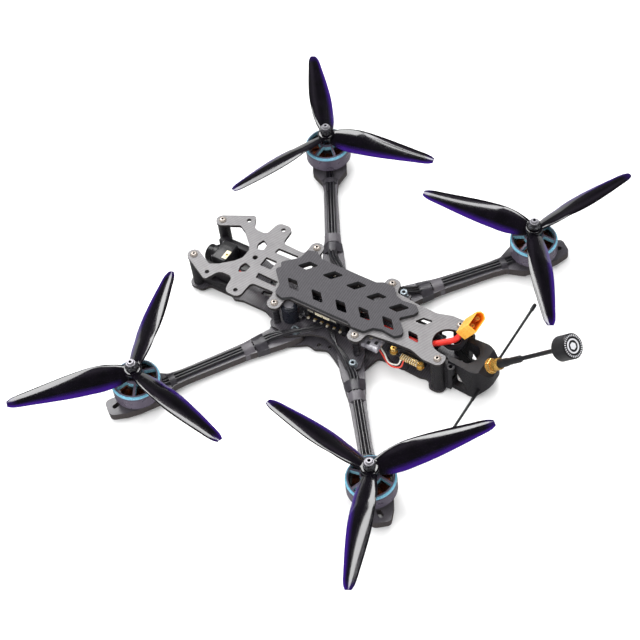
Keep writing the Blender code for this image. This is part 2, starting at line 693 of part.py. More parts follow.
def make_motor_leads(key):
    """One flat bundle of three wires, from the motor along the arm to the stack."""
    motor, outward, _, length = arm_frame(key)
    # distance outward from the motor, height above the arm
    stations = [(-18.6, 1.9), (-26, 1.6), (-44, 1.6), (-length * 0.6, 1.6),
                (-length + 30, 2.2), (-length + 17, 5.2)]
    points = [(*(motor + outward * u), ARM_Z[1] + lift) for u, lift in stations]
    stack_y = STACK_Y + (2.0 if key[0] == "f" else -7.0)
    points.append((side_of(key) * 23.2, stack_y, 16.0))
    name = "motor_leads_" + key
    path = tube(name + "_curve", smooth_path(points), WIRE, section=lead_section(key))
    mesh_from_curve(path, name, WIRE)


# ---------------------------------------------------------------- electronics
FIN_SLOTS = 6
FIN_SLOT_START_X = -11.6
FIN_SLOT_PITCH, FIN_SLOT_WIDTH = 4.4, 2.2
CAPACITOR_XY = (-22.0, 32.4)
# radius, height
CAPACITOR_PROFILE = [(0, 28.6), (4.6, 28.6), (5.9, 27.4), (6.1, 26.0), (6.1, 12.4), (5.4, 11.6),
                     (0, 11.6)]


def stack_box(name, x_range, half_y, z_range, mat=None):
    """Box centred fore and aft on the stack."""
    return box(name, (x_range[0], STACK_Y - half_y, z_range[0]),
               (x_range[1], STACK_Y + half_y, z_range[1]), mat)


def finish_board(board, components):
    """Join the components to a stack board and drill its corner holes."""
    join(board, components)
    for x, y in STACK_HOLES:
        cut(board, cylinder("stack_hole", 2.0, (10, 34), x, y, segments=10))


def make_stack():
    esc = stack_box("esc_board", (-18.6, 18.6), 20, (14.6, 16.2), PCB)
    finish_board(esc, stack_box("esc_parts", (-13.0, 13.0), 12, (15.8, 19.4)))
    controller = stack_box("flight_controller", (-18.0, 18.0), 18, (24.6, 26.2), PCB)
    finish_board(controller, stack_box("fc_socket_row", (-18.0, -14.2), 13, (26.0, 29.2)))
    cylinder("boot_button", 1.2, (26.8, 28.2), 10.0, STACK_Y + 13.0, TAN, 14)


def make_video_transmitter():
    board = box("video_transmitter", (-15.5, -76.0, 13.0), (15.5, -45.0, 15.0), PCB)
    join(board, box("vtx_heatsink", (-14.0, -73.5, 14.6), (14.0, -54.0, 21.6)))
    for i in range(FIN_SLOTS):
        x = FIN_SLOT_START_X + i * FIN_SLOT_PITCH
        slot = box("vtx_fin_slot", (x, -80.0, 17.4), (x + FIN_SLOT_WIDTH, -50.0, 24.0))
        cut(board, slot)
    box("vtx_button", (-13.2, -49.8, 15.6), (-10.4, -47.0, 17.2), TAN)


def make_receiver_and_capacitor():
    box("radio_receiver", (-26.0, -43.4, 21.4), (-12.4, -29.6, 25.2), CLEAR, 1.0, 1)
    turned("capacitor", CAPACITOR_PROFILE, 16, TPU, *CAPACITOR_XY)


# ---------------------------------------------------------------- camera and its brackets
CAM_Y, CAM_Z = 106.0, 15.0        # pivot axis; the lens is at the same height
CAM_HALF = 9.5
LENS_Y = 111.4
FACE_FORWARD = (-90, 0, 0)        # turns a part's +Z to the front
# radius, distance forward of LENS_Y
LENS_PROFILE = [(0, 7.0), (3.2, 7.3), (5.0, 8.0), (6.3, 8.0), (6.6, 7.4), (6.6, 3.4), (6.0, 3.0),
                (6.0, -2.4), (0, -2.4)]
BRACKET_X, BRACKET_HALF_WIDTH = 12.8, 2.9
OUTER_X, OUTER_HALF_WIDTH = 17.0, 2.4     # low block on the outer side of the bracket
PIVOT_X = 13.0


def make_camera():
    body = box("camera_body", (-CAM_HALF, 98.0, CAM_Z - CAM_HALF),
               (CAM_HALF, 110.5, CAM_Z + CAM_HALF), BLACK, 1.4)
    join(body, pin("camera_collar", 8.0, 4, (0, 112.0, CAM_Z), FACE_FORWARD))
    cut(body, pin("lens_socket", 6.3, 8, (0, 112.5, CAM_Z), FACE_FORWARD))
    place(turned("camera_lens", LENS_PROFILE, 16, GLASS), (0, LENS_Y, CAM_Z), FACE_FORWARD)


def make_camera_brackets():
    x, y = STANDOFF_XY["nose"]
    foot = BAY_Z[0]
    for side, tag in SIDES:
        wall = box("camera_bracket_" + tag, (-BRACKET_HALF_WIDTH, 90.0, foot),
                   (BRACKET_HALF_WIDTH, y, 19.6), TPU)
        wall.location.x = side * BRACKET_X * MM
        join(wall, cylinder("bracket_boss", 4.6, BAY_Z, side * x, y, segments=16))
        join(wall, box("bracket_outer", (side * OUTER_X - OUTER_HALF_WIDTH, 88.5, foot),
                       (side * OUTER_X + OUTER_HALF_WIDTH, 116.0, 10.5)))
        cut(wall, cylinder("bracket_bore", STANDOFF_R + GAP, (-5, 40), side * x, y, segments=12))
        cut(wall, pin("bracket_pivot", 2.0, 12, (side * PIVOT_X, CAM_Y, CAM_Z), (0, 90, 0), 14))


# ---------------------------------------------------------------- antenna mount
SMA_POINT = (0.0, -119.8, 26.3)   # centre of the antenna jack's seat
SMA_TILT = 46.0                   # degrees above horizontal, pointing aft
SMA_ROTATION = (90 - SMA_TILT, 0, 0)
WHISKER_Y, WHISKER_Z = -116.2, 9.0
EYELET_XY = (14.9, -96.4)
WEB_X, WEB_HALF_WIDTH = 13.0, 3.4
MOUNT_AFT_Y = -124.0
# x, y, corner radius
MOUNT_PLAN = [(-12.4, -92.6, 1), (-13.6, -112.0, 9), (-7.5, MOUNT_AFT_Y, 7),
              (7.5, MOUNT_AFT_Y, 7), (13.6, -112.0, 9), (12.4, -92.6, 1)]
CHANNEL_PLAN = [(-8.4, -80, 0), (-8.4, -106.0, 4), (-3.5, -109.5, 4), (3.5, -109.5, 4),
                (8.4, -106.0, 4), (8.4, -80, 0)]
SIDE_WINDOW = [(-98.2, 6.2), (-98.2, 23.0), (-108.0, 6.4)]     # y, z
SIDE_WINDOW_X = 12.4


def add_mount_feet(mount):
    """Two feet reach forward round the tail standoffs, with an eyelet beside each."""
    x, y = STANDOFF_XY["tail"]
    for side in (-1, 1):
        join(mount, cylinder("mount_post", 5.2, BAY_Z, side * x, y, segments=20))
        join(mount, box("mount_web", (side * WEB_X - WEB_HALF_WIDTH, -97.0, BAY_Z[0]),
                        (side * WEB_X + WEB_HALF_WIDTH, -88.5, 27.0)))
        join(mount, cylinder("mount_eyelet", 2.9, (8.0, 28.4), side * EYELET_XY[0], EYELET_XY[1],
                             segments=16))


def cut_mount_sides(mount):
    """Window through each side wall, standoff bore and eyelet bore."""
    x, y = STANDOFF_XY["tail"]
    # columns send the outline's x to y, its y to z, and its thickness to x
    upright = Matrix(((0, 0, 1, 0), (1, 0, 0, 0), (0, 1, 0, 0), (0, 0, 0, 1)))
    for side in (-1, 1):
        opening = flat("mount_window", [window(SIDE_WINDOW, 1.5, step=40)], (-4.5, 4.5), TPU)
        opening.matrix_world = Matrix.Translation((side * SIDE_WINDOW_X * MM, 0, 0)) @ upright
        cut(mount, opening)
        cut(mount, cylinder("mount_bore", STANDOFF_R + GAP, (-5, 40), side * x, y, segments=16))
        cut(mount, cylinder("eyelet_bore", 1.4, (18, 40), side * EYELET_XY[0], EYELET_XY[1],
                            segments=12))


def make_antenna_mount():
    tilt = math.radians(SMA_TILT)
    axis = Vector((0, -math.cos(tilt), math.sin(tilt)))
    seat = Vector(SMA_POINT)
    mount = flat("antenna_mount", [fillet(MOUNT_PLAN, 30)], (0.0, 32.0), TPU)
    add_mount_feet(mount)
    # sloping seat for the jack: the block's lower face passes through the seat point
    slope = box("mount_slope", (-30, -30, -20), (30, 30, 20))
    cut(mount, place(slope, seat + axis * 20.0, SMA_ROTATION))
    # the top is trimmed on a slight slope, lower toward the rear
    fall = box("mount_fall", (-30, -27, -15), (30, 27, 15))
    cut(mount, place(fall, (0, -90.0, 45.6), (3, 0, 0)))
    # open channel for the leads
    cut(mount, flat("mount_channel", [fillet(CHANNEL_PLAN, 30)], (-6.0, 60.0), TPU))
    cut_mount_sides(mount)
    cut(mount, pin("jack_bore", 3.5, 22, seat - axis * 3.0, SMA_ROTATION, 18))
    # one cross bore holds both receiver antennas
    cut(mount, pin("whisker_bore", 1.5, 60, (0, WHISKER_Y, WHISKER_Z), (0, 90, 0), 12))


# ---------------------------------------------------------------- jack and antennas
# Heights are measured from the jack's seat, along the tilted axis: radius, height.
JACK_TOP = 8.6
ANTENNA_BASE = JACK_TOP + GAP
ANTENNA_STEM = 73.5
ANTENNA_TOP = ANTENNA_STEM + 13.0
ANTENNA_HEAD_R = 8.8
JACK_PROFILE = [(0, JACK_TOP), (3.05, JACK_TOP), (3.05, 2.4), (4.6, 2.2), (4.6, 0.3), (3.15, 0.3),
                (3.15, -6.0), (0, -6.0)]
COUPLING_NUT_PROFILE = [(3.4, 10.6), (4.0, 10.6), (4.2, 10.2), (4.2, 4.6), (4.0, 4.2), (3.4, 4.2)]
ANTENNA_PROFILE = [
    (0, ANTENNA_TOP), (ANTENNA_HEAD_R - 0.8, ANTENNA_TOP), (ANTENNA_HEAD_R, ANTENNA_TOP - 1.0),
    (ANTENNA_HEAD_R, ANTENNA_STEM + 0.8), (ANTENNA_HEAD_R - 0.6, ANTENNA_STEM),
    (2.4, ANTENNA_STEM - 0.6), (1.6, ANTENNA_STEM - 4.0), (1.6, 34.0), (2.5, 32.0), (2.5, 20.0),
    (3.0, 18.0), (3.0, ANTENNA_BASE), (0, ANTENNA_BASE),
]
# radius, distance out from the centre plane
WHISKER_TIP = 74.5
WHISKER_PROFILE = [(0, WHISKER_TIP), (1.3, WHISKER_TIP - 0.4), (1.5, WHISKER_TIP - 6.0),
                   (1.05, WHISKER_TIP - 6.6), (1.05, 3.0), (0, 3.0)]


def make_video_antenna():
    for name, profile, steps, mat in (
            ("sma_jack", JACK_PROFILE, 14, GOLD),
            ("antenna_coupling_nut", COUPLING_NUT_PROFILE, 12, GOLD),
            ("vtx_antenna", ANTENNA_PROFILE, 14, BLACK)):
        place(turned(name, profile, steps, mat), SMA_POINT, SMA_ROTATION)


def make_receiver_antennas():
    for side, tag in SIDES:
        whisker = turned("receiver_antenna_" + tag, WHISKER_PROFILE, 10, BLACK)
        place(whisker, (0, WHISKER_Y, WHISKER_Z), (0, 90 * side, 0))


# ---------------------------------------------------------------- battery plug and leads
PLUG_BACK = (12.6, -93.5, 38.6)   # centre of the plug's back face
PLUG_TILT = 33.0                  # the mouth leans this far aft of straight up, in degrees
PLUG_PIN = 3.6                    # half the spacing of the two contacts
PLUG_MATRIX = (Matrix.Translation(Vector(PLUG_BACK) * MM)
               @ Matrix.Rotation(math.radians(PLUG_TILT), 4, "X"))
BATTERY_LEAD_R = 1.9
# last stretch of each lead, from the plug toward the frame: x, y, z
POSITIVE_WAY = [(4.6, -89.8, 32.6), (0.6, -83.2, 29.8), (-3.0, -75.4, 27.0)]
NEGATIVE_WAY = [(13.2, -94.2, 34.2), (8.0, -95.3, 32.9), (3.6, -94.4, 29.0), (1.6, -87.2, 25.4),
                (4.6, -77.0, 25.0)]
# inner stretch, from the stack aft: distance from the centre plane, y, z
LEAD_START = [(6.0, -16.0, 21.8), (6.0, -32.0, 24.6), (6.4, -52.0, 25.6), (5.8, -69.0, 25.6)]


def plug_outline(half_x, half_y, chamfer):
    """Rectangle with its two +X corners chamfered."""
    return window([(-half_x, -half_y), (half_x - chamfer, -half_y), (half_x, chamfer - half_y),
                   (half_x, half_y - chamfer), (half_x - chamfer, half_y), (-half_x, half_y)],
                  radius=0.5)


def plug_cylinder(name, side, radius, low, high):
    """Cylinder on one contact's axis, in the plug's own frame."""
    obj = cylinder(name, radius, (low, high), segments=12)
    centre = (side * PLUG_PIN * MM, 0, (low + high) / 2 * MM)
    obj.matrix_world = PLUG_MATRIX @ Matrix.Translation(centre)
    return obj


def make_battery_plug():
    plug = flat("battery_plug", [plug_outline(8.0, 4.1, 2.6)], (0, 16.4), YELLOW)
    plug.matrix_world = PLUG_MATRIX
    for side in (-1, 1):
        join(plug, plug_cylinder("plug_sleeve", side, 2.9, -0.8, 1.0))
        cut(plug, plug_cylinder("plug_bore", side, 2.1, -5.0, 3.0))
    mouth = flat("plug_mouth", [plug_outline(7.0, 3.1, 2.2)], (5.0, 20.0), YELLOW)
    mouth.matrix_world = PLUG_MATRIX
    cut(plug, mouth)


def make_battery_lead(tag, mat, side, way):
    """Lead from the stack to a contact; it ends in a straight stretch inside the plug."""
    end = PLUG_MATRIX @ (Vector((side * PLUG_PIN, 0, 2.4)) * MM)
    entry = PLUG_MATRIX @ (Vector((side * PLUG_PIN, 0, -2.8)) * MM)
    start = [(side * x, y, z) for x, y, z in LEAD_START]
    points = smooth_path(start + way[::-1] + [tuple(entry / MM)])
    points += [tuple((entry * 0.6 + end * 0.4) / MM), tuple(end / MM)]
    tube("battery_lead_" + tag, points, mat, radius=BATTERY_LEAD_R)


# ---------------------------------------------------------------- build
make_top_plate()
make_battery_pad()
make_bottom_plate()
make_middle_plate()
make_standoffs()
for rotor, (motor_x, motor_y, first_azimuth, direction) in ROTORS.items():
    make_arm(rotor)
    make_motor(rotor, motor_x, motor_y)
    make_propeller(rotor, motor_x, motor_y, first_azimuth, direction)
    make_prop_nut(rotor, motor_x, motor_y)
    make_motor_leads(rotor)
make_stack()
make_video_transmitter()
make_receiver_and_capacitor()
make_camera()
make_camera_brackets()
make_antenna_mount()
make_video_antenna()
make_receiver_antennas()
make_battery_plug()
make_battery_lead("positive", RED, -1, POSITIVE_WAY)
make_battery_lead("negative", WIRE, 1, NEGATIVE_WAY)
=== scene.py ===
"""Looks of a seven-inch FPV racing quadcopter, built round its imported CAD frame.

Metres in Blender, millimetres in the constants and helpers. +Z up, +Y forward, +X starboard.
The bottom plate's under-face is at z = 0. Left means -X, right means +X.
"""

import math

import bmesh
import bpy
from mathutils import Matrix, Vector


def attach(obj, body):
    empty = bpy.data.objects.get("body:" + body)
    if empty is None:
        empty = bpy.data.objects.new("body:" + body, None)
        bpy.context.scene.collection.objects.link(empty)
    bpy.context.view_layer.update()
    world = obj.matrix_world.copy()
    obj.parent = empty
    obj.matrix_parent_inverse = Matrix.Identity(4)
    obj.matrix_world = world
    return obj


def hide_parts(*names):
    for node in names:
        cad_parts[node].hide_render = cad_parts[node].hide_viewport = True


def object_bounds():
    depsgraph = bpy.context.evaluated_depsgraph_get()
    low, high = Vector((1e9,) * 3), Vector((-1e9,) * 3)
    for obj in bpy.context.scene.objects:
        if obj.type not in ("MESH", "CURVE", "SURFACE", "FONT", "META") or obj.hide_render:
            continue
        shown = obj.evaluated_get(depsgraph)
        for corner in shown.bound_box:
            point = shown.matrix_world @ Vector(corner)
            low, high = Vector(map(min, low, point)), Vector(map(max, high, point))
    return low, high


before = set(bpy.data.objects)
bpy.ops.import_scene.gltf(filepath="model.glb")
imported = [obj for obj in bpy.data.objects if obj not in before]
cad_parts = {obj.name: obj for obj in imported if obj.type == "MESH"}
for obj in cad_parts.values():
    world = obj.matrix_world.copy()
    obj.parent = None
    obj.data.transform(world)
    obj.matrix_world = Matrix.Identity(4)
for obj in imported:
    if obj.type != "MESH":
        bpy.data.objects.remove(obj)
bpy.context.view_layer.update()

MM = 0.001
TAU = 2 * math.pi
SIDES = ((-1, "left"), (1, "right"))
UNMOVED = Matrix.Identity(4)

# ---------------------------------------------------------------- driving dimensions (mm)
MOTOR_Y, MOTOR_X_FRONT, MOTOR_X_REAR = 92.9, 127.6, 116.5
PROP_RADIUS, PROP_PLANE_Z = 88.9, 37.0
PROP_PITCH = 3.6 * 25.4
HUB_GAP = 0.3
# lower and upper face of each sheet
BOTTOM_Z, ARM_Z, MIDDLE_Z = (0.0, 2.5), (2.8, 8.8), (9.1, 11.1)
TOP_Z, PAD_Z = (30.3, 32.8), (33.1, 35.9)
HOLE_R, STANDOFF_R, HEAD_R, HEX_R = 1.7, 2.6, 2.85, 1.0
# places on the right; each is mirrored to the left
STANDOFF_XY = {
    "nose": (18.9, 117.3), "front": (28.9, 39.8), "mid": (26.2, -26.1), "tail": (16.5, -86.9),
}
OPEN_HOLES = [(27.9, 99.4), (32.1, 71.3)]
ARM_BOLTS = [(30.2, 23.6), (36.0, -28.8)]
BELL_R, BELL_FOOT_Z, SEAT_Z, SHAFT_R, SHAFT_TOP_Z = 17.5, 13.5, 31.0, 2.4, 46.5
MOTOR_SCREW_RADIUS = 9.5
STACK_Y, STACK_HALF = 6.0, 15.25
STACK_XY = [(i * STACK_HALF, STACK_Y + j * STACK_HALF) for i in (1, -1) for j in (1, -1)]
CAM_Y, CAM_Z = 106.0, 15.0
# motor x and y, azimuth of the first blade in degrees, spin (1 is anticlockwise from above)
ROTORS = {
    "fl": (-MOTOR_X_FRONT, MOTOR_Y, 17.8, -1), "fr": (MOTOR_X_FRONT, MOTOR_Y, 38.9, 1),
    "rl": (-MOTOR_X_REAR, -MOTOR_Y, 82.2, 1), "rr": (MOTOR_X_REAR, -MOTOR_Y, 94.5, -1),
}
ARM_ROOT = {"f": (21.6, 22.4), "r": (22.6, -16.9)}

# antenna jack: centre of its seat, its outward axis, and the matrix that stands +Z on that axis
SMA_SEAT = Vector((0.0, -119.8, 26.3))
SMA_TILT = math.radians(46.0)
SMA_AXIS = Vector((0, -math.cos(SMA_TILT), math.sin(SMA_TILT)))
SMA_TURN = Matrix.Rotation(math.pi / 2 - SMA_TILT, 4, "X")
JACK = Matrix.Translation(SMA_SEAT * MM) @ SMA_TURN


# ---------------------------------------------------------------- shader helpers
def linear(*rgb):
    """Display colour 0..255 to linear."""
    shares = [v / 255.0 for v in rgb]
    return tuple(v / 12.92 if v <= 0.04045 else ((v + 0.055) / 1.055) ** 2.4 for v in shares)


def feed(tree, socket, value):
    """Give a socket a number, a colour or a link."""
    if isinstance(value, (int, float)):
        socket.default_value = value
    elif isinstance(value, tuple):
        socket.default_value = (*value, 1.0)
    else:
        tree.links.new(value, socket)


def add_node(tree, kind, inputs=None, **settings):
    node = tree.nodes.new("ShaderNode" + kind)
    for key, value in settings.items():
        setattr(node, key, value)
    for key, value in (inputs or {}).items():
        feed(tree, node.inputs[key], value)
    return node


def remap_node(tree, value, span, to):
    return add_node(tree, "MapRange", {
        "From Min": span[0], "From Max": span[1], "To Min": to[0], "To Max": to[1],
        "Value": value}).outputs[0]


class Shader:
    """A new material and short ways to add nodes to it."""

    def __init__(self, name):
        self.material = bpy.data.materials.new(name)
        self.material.use_nodes = True
        self.tree = self.material.node_tree
        self.place = self.add("TexCoord").outputs["Object"]

    def add(self, kind, inputs=None, **settings):
        return add_node(self.tree, kind, inputs, **settings)

    def calc(self, operation, *values):
        return self.add("Math", dict(enumerate(values)), operation=operation).outputs[0]

    def split(self, vector):
        return self.add("SeparateXYZ", {0: vector}).outputs

    def grey(self, value):
        return self.add("CombineXYZ", {0: value, 1: value, 2: value}).outputs[0]

    def noise(self, scale, detail=3.0, rough=0.55):
        return self.add("TexNoise", {
            "Scale": scale, "Detail": detail, "Roughness": rough,
            "Vector": self.place}).outputs["Fac"]

    def remap(self, value, span, to=(0, 1)):
        """Map the value from span to the other range, clamped."""
        return remap_node(self.tree, value, span, to)

    def wave(self, value, period):
        """Sine of a coordinate, its period in mm."""
        return self.calc("SINE", self.calc("MULTIPLY", value, TAU / (period * MM)))

    def mix(self, factor, low, high, blend="MIX"):
        return self.add("Mix", {0: factor, 6: low, 7: high},
                        data_type="RGBA", blend_type=blend).outputs[2]

    def bump(self, height, depth, strength):
        """Bump normal, its depth in mm."""
        return self.add("Bump", {
            "Distance": depth * MM, "Strength": strength, "Height": height}).outputs[0]

    def flatness(self):
        """1 on level faces, 0 on upright ones."""
        normal = self.add("NewGeometry").outputs["True Normal"]
        return self.remap(self.calc("ABSOLUTE", self.split(normal)[2]), span=(0.6, 0.9))

    def surface(self, inputs):
        """Set the surface's inputs and hand back the material."""
        for key, value in inputs.items():
            feed(self.tree, self.tree.nodes["Principled BSDF"].inputs[key], value)
        return self.material


# ---------------------------------------------------------------- material kinds
def plain(name, colour, rough=0.5, metal=0.0, vary=0.18, scale=220.0, bump=0.03, fine=1800.0,
          coat=0.0, spec=0.5, wear=None):
    """Mottled colour, uneven roughness and fine bump; wear is the colour of rubbed edges.

    scale and fine are the noise scales of the mottling and of the bump, which is in mm.
    """
    shader = Shader(name)
    base = linear(*colour)
    low = tuple(c * (1 - vary) for c in base)
    high = tuple(min(1, c * (1 + vary)) for c in base)
    tint = shader.mix(shader.remap(shader.noise(scale), span=(0.35, 0.65)), low, high)
    if wear:
        edge = shader.add("NewGeometry").outputs["Pointiness"]
        rubbed = shader.calc(
            "MULTIPLY", shader.remap(edge, span=(0.52, 0.6), to=(0, 0.8)),
            shader.remap(shader.noise(scale * 3), span=(0.4, 0.6), to=(0.2, 1)))
        tint = shader.mix(rubbed, tint, linear(*wear))
    coating = {"Coat Weight": coat, "Coat Roughness": 0.08} if coat else {}
    return shader.surface({
        "Base Color": tint,
        "Roughness": shader.remap(shader.noise(scale * 1.7), span=(0.3, 0.7),
                                  to=(max(0.02, rough - 0.08), min(1, rough + 0.08))),
        "Metallic": metal,
        "Specular IOR Level": spec,
        **coating,
        "Normal": shader.bump(shader.noise(fine, detail=2.0), depth=bump, strength=0.6),
    })


def carbon(name, warp, weft, side, rough, tow=0.6, turn=45, coat=0.25, grain=0.12):
    """Two-by-two twill sheet whose crossing tows get two tones, a painted sheen, and ply lines on
    its cut edges.

    tow is a tow's width in mm, turn the weave's angle in degrees, grain the mottling.
    """
    shader = Shader(name)
    calc = shader.calc
    x, y, z = shader.split(shader.place)
    cos, sin = math.cos(math.radians(turn)), math.sin(math.radians(turn))
    per_tow = 1.0 / (tow * MM)
    u = calc("ADD", calc("MULTIPLY", x, cos), calc("MULTIPLY", y, sin))
    u = calc("MULTIPLY", u, per_tow)
    v = calc("SUBTRACT", calc("MULTIPLY", y, cos), calc("MULTIPLY", x, sin))
    v = calc("MULTIPLY", v, per_tow)
    step = calc("FLOORED_MODULO", calc("ADD", calc("FLOOR", u), calc("FLOOR", v)), 4.0)
    over = calc("LESS_THAN", step, 1.5)
    crown_u, crown_v = (calc("SINE", calc("MULTIPLY", calc("FRACT", w), math.pi)) for w in (u, v))
    hair_u, hair_v = (calc("SINE", calc("MULTIPLY", w, 44.0)) for w in (u, v))
    under = calc("SUBTRACT", 1.0, over)

    def woven(along_u, along_v):
        return calc("ADD", calc("MULTIPLY", over, along_u), calc("MULTIPLY", under, along_v))

    height = woven(crown_u, crown_v)
    hair = woven(hair_u, hair_v)
    # painted shading: each tow lighter along its crown than at its sides
    shading = calc("ADD", shader.remap(height, span=(0.0, 1.0), to=(0.84, 1.04)),
                   calc("MULTIPLY", hair, 0.05))
    mottle = shader.noise(260.0, detail=4.0)
    shading = calc("MULTIPLY", shading,
                   shader.remap(mottle, span=(0.3, 0.7), to=(1 - grain, 1 + grain)))
    # painted sheen: warp and weft tows get two tones of one carbon
    weave = shader.mix(over, linear(*weft), linear(*warp))
    weave = shader.mix(1.0, weave, shader.grey(shading), blend="MULTIPLY")
    plies = shader.remap(shader.wave(z, period=0.5), span=(-1, 1), to=(0.75, 1.15))
    edge = shader.mix(1.0, linear(*side), shader.grey(plies), blend="MULTIPLY")
    flat = shader.flatness()
    return shader.surface({
        "Base Color": shader.mix(flat, edge, weave),
        "Roughness": calc("ADD", shader.remap(flat, span=(0, 1), to=(0.62, rough)),
                          calc("MULTIPLY", over, -0.07)),
        "Specular IOR Level": 0.5,
        "Coat Weight": calc("MULTIPLY", flat, coat),
        "Coat Roughness": 0.22,
        "Normal": shader.bump(
            calc("ADD", calc("MULTIPLY", height, flat),
                 calc("MULTIPLY", shader.noise(1500.0, detail=2.0), 0.35)),
            depth=0.035, strength=0.6),
    })


def ribbed_rubber():
    """Slanting ribs on the level faces."""
    shader = Shader("ribbed_rubber_pad")
    calc = shader.calc
    x, y, z = shader.split(shader.place)
    slant = calc("ADD", calc("MULTIPLY", x, 0.76), calc("MULTIPLY", y, -0.65))
    ribs = shader.remap(shader.wave(slant, period=1.05), span=(-1, 1))
    grain = shader.remap(shader.noise(420.0, detail=4.0), span=(0.3, 0.7), to=(0.8, 1.2))
    # painted shade: grooves darker than the rib crests, which are lighter
    top = shader.mix(calc("MULTIPLY", ribs, grain), linear(50, 49, 52), linear(82, 80, 84))
    flat = shader.flatness()
    return shader.surface({
        "Base Color": shader.mix(flat, linear(46, 46, 48), top),
        "Roughness": 0.78,
        "Normal": shader.bump(
            calc("ADD", calc("MULTIPLY", ribs, flat), calc("MULTIPLY", shader.noise(1600.0), 0.5)),
            depth=0.16, strength=0.8),
    })


def printed_tpu():
    """Flexible print with layer lines."""
    shader = Shader("printed_tpu")
    layers = shader.wave(shader.split(shader.place)[2], period=0.28)
    blotch = shader.noise(300.0)
    return shader.surface({
        "Base Color": shader.mix(shader.remap(blotch, span=(0.35, 0.65)),
                                 linear(16, 15, 18), linear(30, 28, 33)),
        "Roughness": shader.remap(blotch, span=(0.3, 0.7), to=(0.42, 0.58)),
        "Normal": shader.bump(
            shader.calc("ADD", shader.remap(layers, span=(-1, 1)),
                        shader.calc("MULTIPLY", blotch, 1.2)),
            depth=0.05, strength=0.9),
    })


def layered_metal(name, period, dark, light, metal, rough, bump):
    """Metal striped along z, its period and bump in mm."""
    shader = Shader(name)
    layers = shader.wave(shader.split(shader.place)[2], period)
    return shader.surface({
        "Base Color": shader.mix(shader.remap(layers, span=(-1, 1)),
                                 linear(*dark), linear(*light)),
        "Metallic": metal,
        "Roughness": rough,
        "Normal": shader.bump(layers, depth=bump, strength=0.8),
    })


def heat_shrink():
    shader = Shader("clear_heat_shrink")
    crumple = shader.noise(160.0, detail=4.0)
    return shader.surface({
        "Base Color": shader.mix(shader.remap(crumple, span=(0.35, 0.6)),
                                 linear(74, 71, 78), linear(146, 144, 150)),
        "Roughness": 0.16,
        "Coat Weight": 0.6,
        "Normal": shader.bump(crumple, depth=0.5, strength=0.8),
    })


def propeller_plastic():
    """Near black, violet at the thin trailing edge with a painted glow, and a painted highlight
    band behind the leading edge.
    """
    shader = Shader("propeller_plastic")
    thin = shader.add("Attribute", attribute_name="thin").outputs["Fac"]
    thin = shader.remap(thin, span=(0.0, 1.0))
    lead = shader.add("Attribute", attribute_name="lead").outputs["Fac"]
    dark = shader.mix(shader.remap(shader.noise(90.0, detail=2.0), span=(0.35, 0.65)),
                      linear(5, 4, 7), linear(10, 7, 14))
    tint = shader.mix(thin, dark, linear(42, 16, 96))
    # painted highlight: a faint grey band behind the leading edge, mixed in through the lead
    # attribute
    tint = shader.mix(shader.calc("MULTIPLY", lead, 0.04), tint, linear(120, 112, 128))
    return shader.surface({
        "Base Color": tint,
        "Roughness": shader.remap(shader.noise(400.0), span=(0.3, 0.7), to=(0.10, 0.16)),
        "Coat Weight": 0.45,
        "Specular IOR Level": 0.6,
        "Coat Roughness": 0.05,
        # painted glow: violet emission on the thin trailing edge
        "Emission Color": linear(62, 24, 132),
        "Emission Strength": shader.calc("MULTIPLY", thin, 0.045),
        "Normal": shader.bump(shader.noise(1200.0, detail=2.0), depth=0.012, strength=0.5),
    })


def coated_glass():
    """Lens glass with a blue-violet coating."""
    shader = Shader("coated_glass")
    facing = shader.add("LayerWeight", {"Blend": 0.35}).outputs["Facing"]
    return shader.surface({
        "Base Color": shader.mix(facing, linear(10, 14, 34), linear(70, 40, 110)),
        "Roughness": 0.04,
        "Coat Weight": 1.0,
        "Specular IOR Level": 0.8,
        "Normal": shader.bump(shader.noise(60.0, detail=1.0), depth=0.002, strength=0.3),
    })


def pale_floor():
    """Nearly white, but dark where glossy things reflect it."""
    shader = Shader("pale_floor")
    glossy = shader.add("LightPath").outputs["Is Glossy Ray"]
    pale = shader.mix(shader.remap(shader.noise(3.0), span=(0.3, 0.7)),
                      (0.92, 0.92, 0.92), (0.94, 0.94, 0.94))
    return shader.surface({
        "Base Color": shader.mix(shader.calc("MULTIPLY", glossy, 0.75), pale, (0.08, 0.08, 0.08)),
        "Roughness": 0.9,
        "Specular IOR Level": 0.1,
    })


# ---------------------------------------------------------------- materials
CARBON_TOP = carbon("carbon_top_plate", warp=(112, 110, 111), weft=(101, 99, 101),
                    side=(40, 36, 36), rough=0.42, tow=0.72, turn=20, grain=0.1)
# painted shade: the lower plates take the arms' carbon a tone darker, for the shade under the top
# plate
CARBON_LOW_SHADED = carbon("carbon_lower_plates_shaded", warp=(74, 71, 76), weft=(56, 54, 59),
                    side=(44, 40, 40), rough=0.4)
CARBON_ARM = carbon("carbon_arms", warp=(84, 81, 86), weft=(63, 61, 66),
                    side=(56, 50, 50), rough=0.34, coat=0.3)
RIB_PAD = ribbed_rubber()
TPU = printed_tpu()
ALU_BLACK = plain("black_anodised", (58, 56, 62), rough=0.34, metal=0.85,
                  wear=(150, 148, 150), bump=0.02)
SCREW = plain("bronze_grey_screw", (168, 158, 150), rough=0.26, metal=0.6, vary=0.22, scale=500,
              wear=(215, 208, 200))
# bright steel on the shaft and small parts, and a painted highlight on the nut's and capacitor's
# tops
SILVER_AND_HIGHLIGHT = plain("bright_steel_and_painted_highlight", (146, 144, 150), rough=0.38, metal=0.55, vary=0.1, scale=600)
STEEL = plain("cool_grey_steel", (104, 116, 124), rough=0.34, metal=0.75, vary=0.15, scale=500,
              wear=(190, 200, 206))
PRINT = plain("pale_print", (196, 196, 200), rough=0.45, vary=0.06, scale=900)
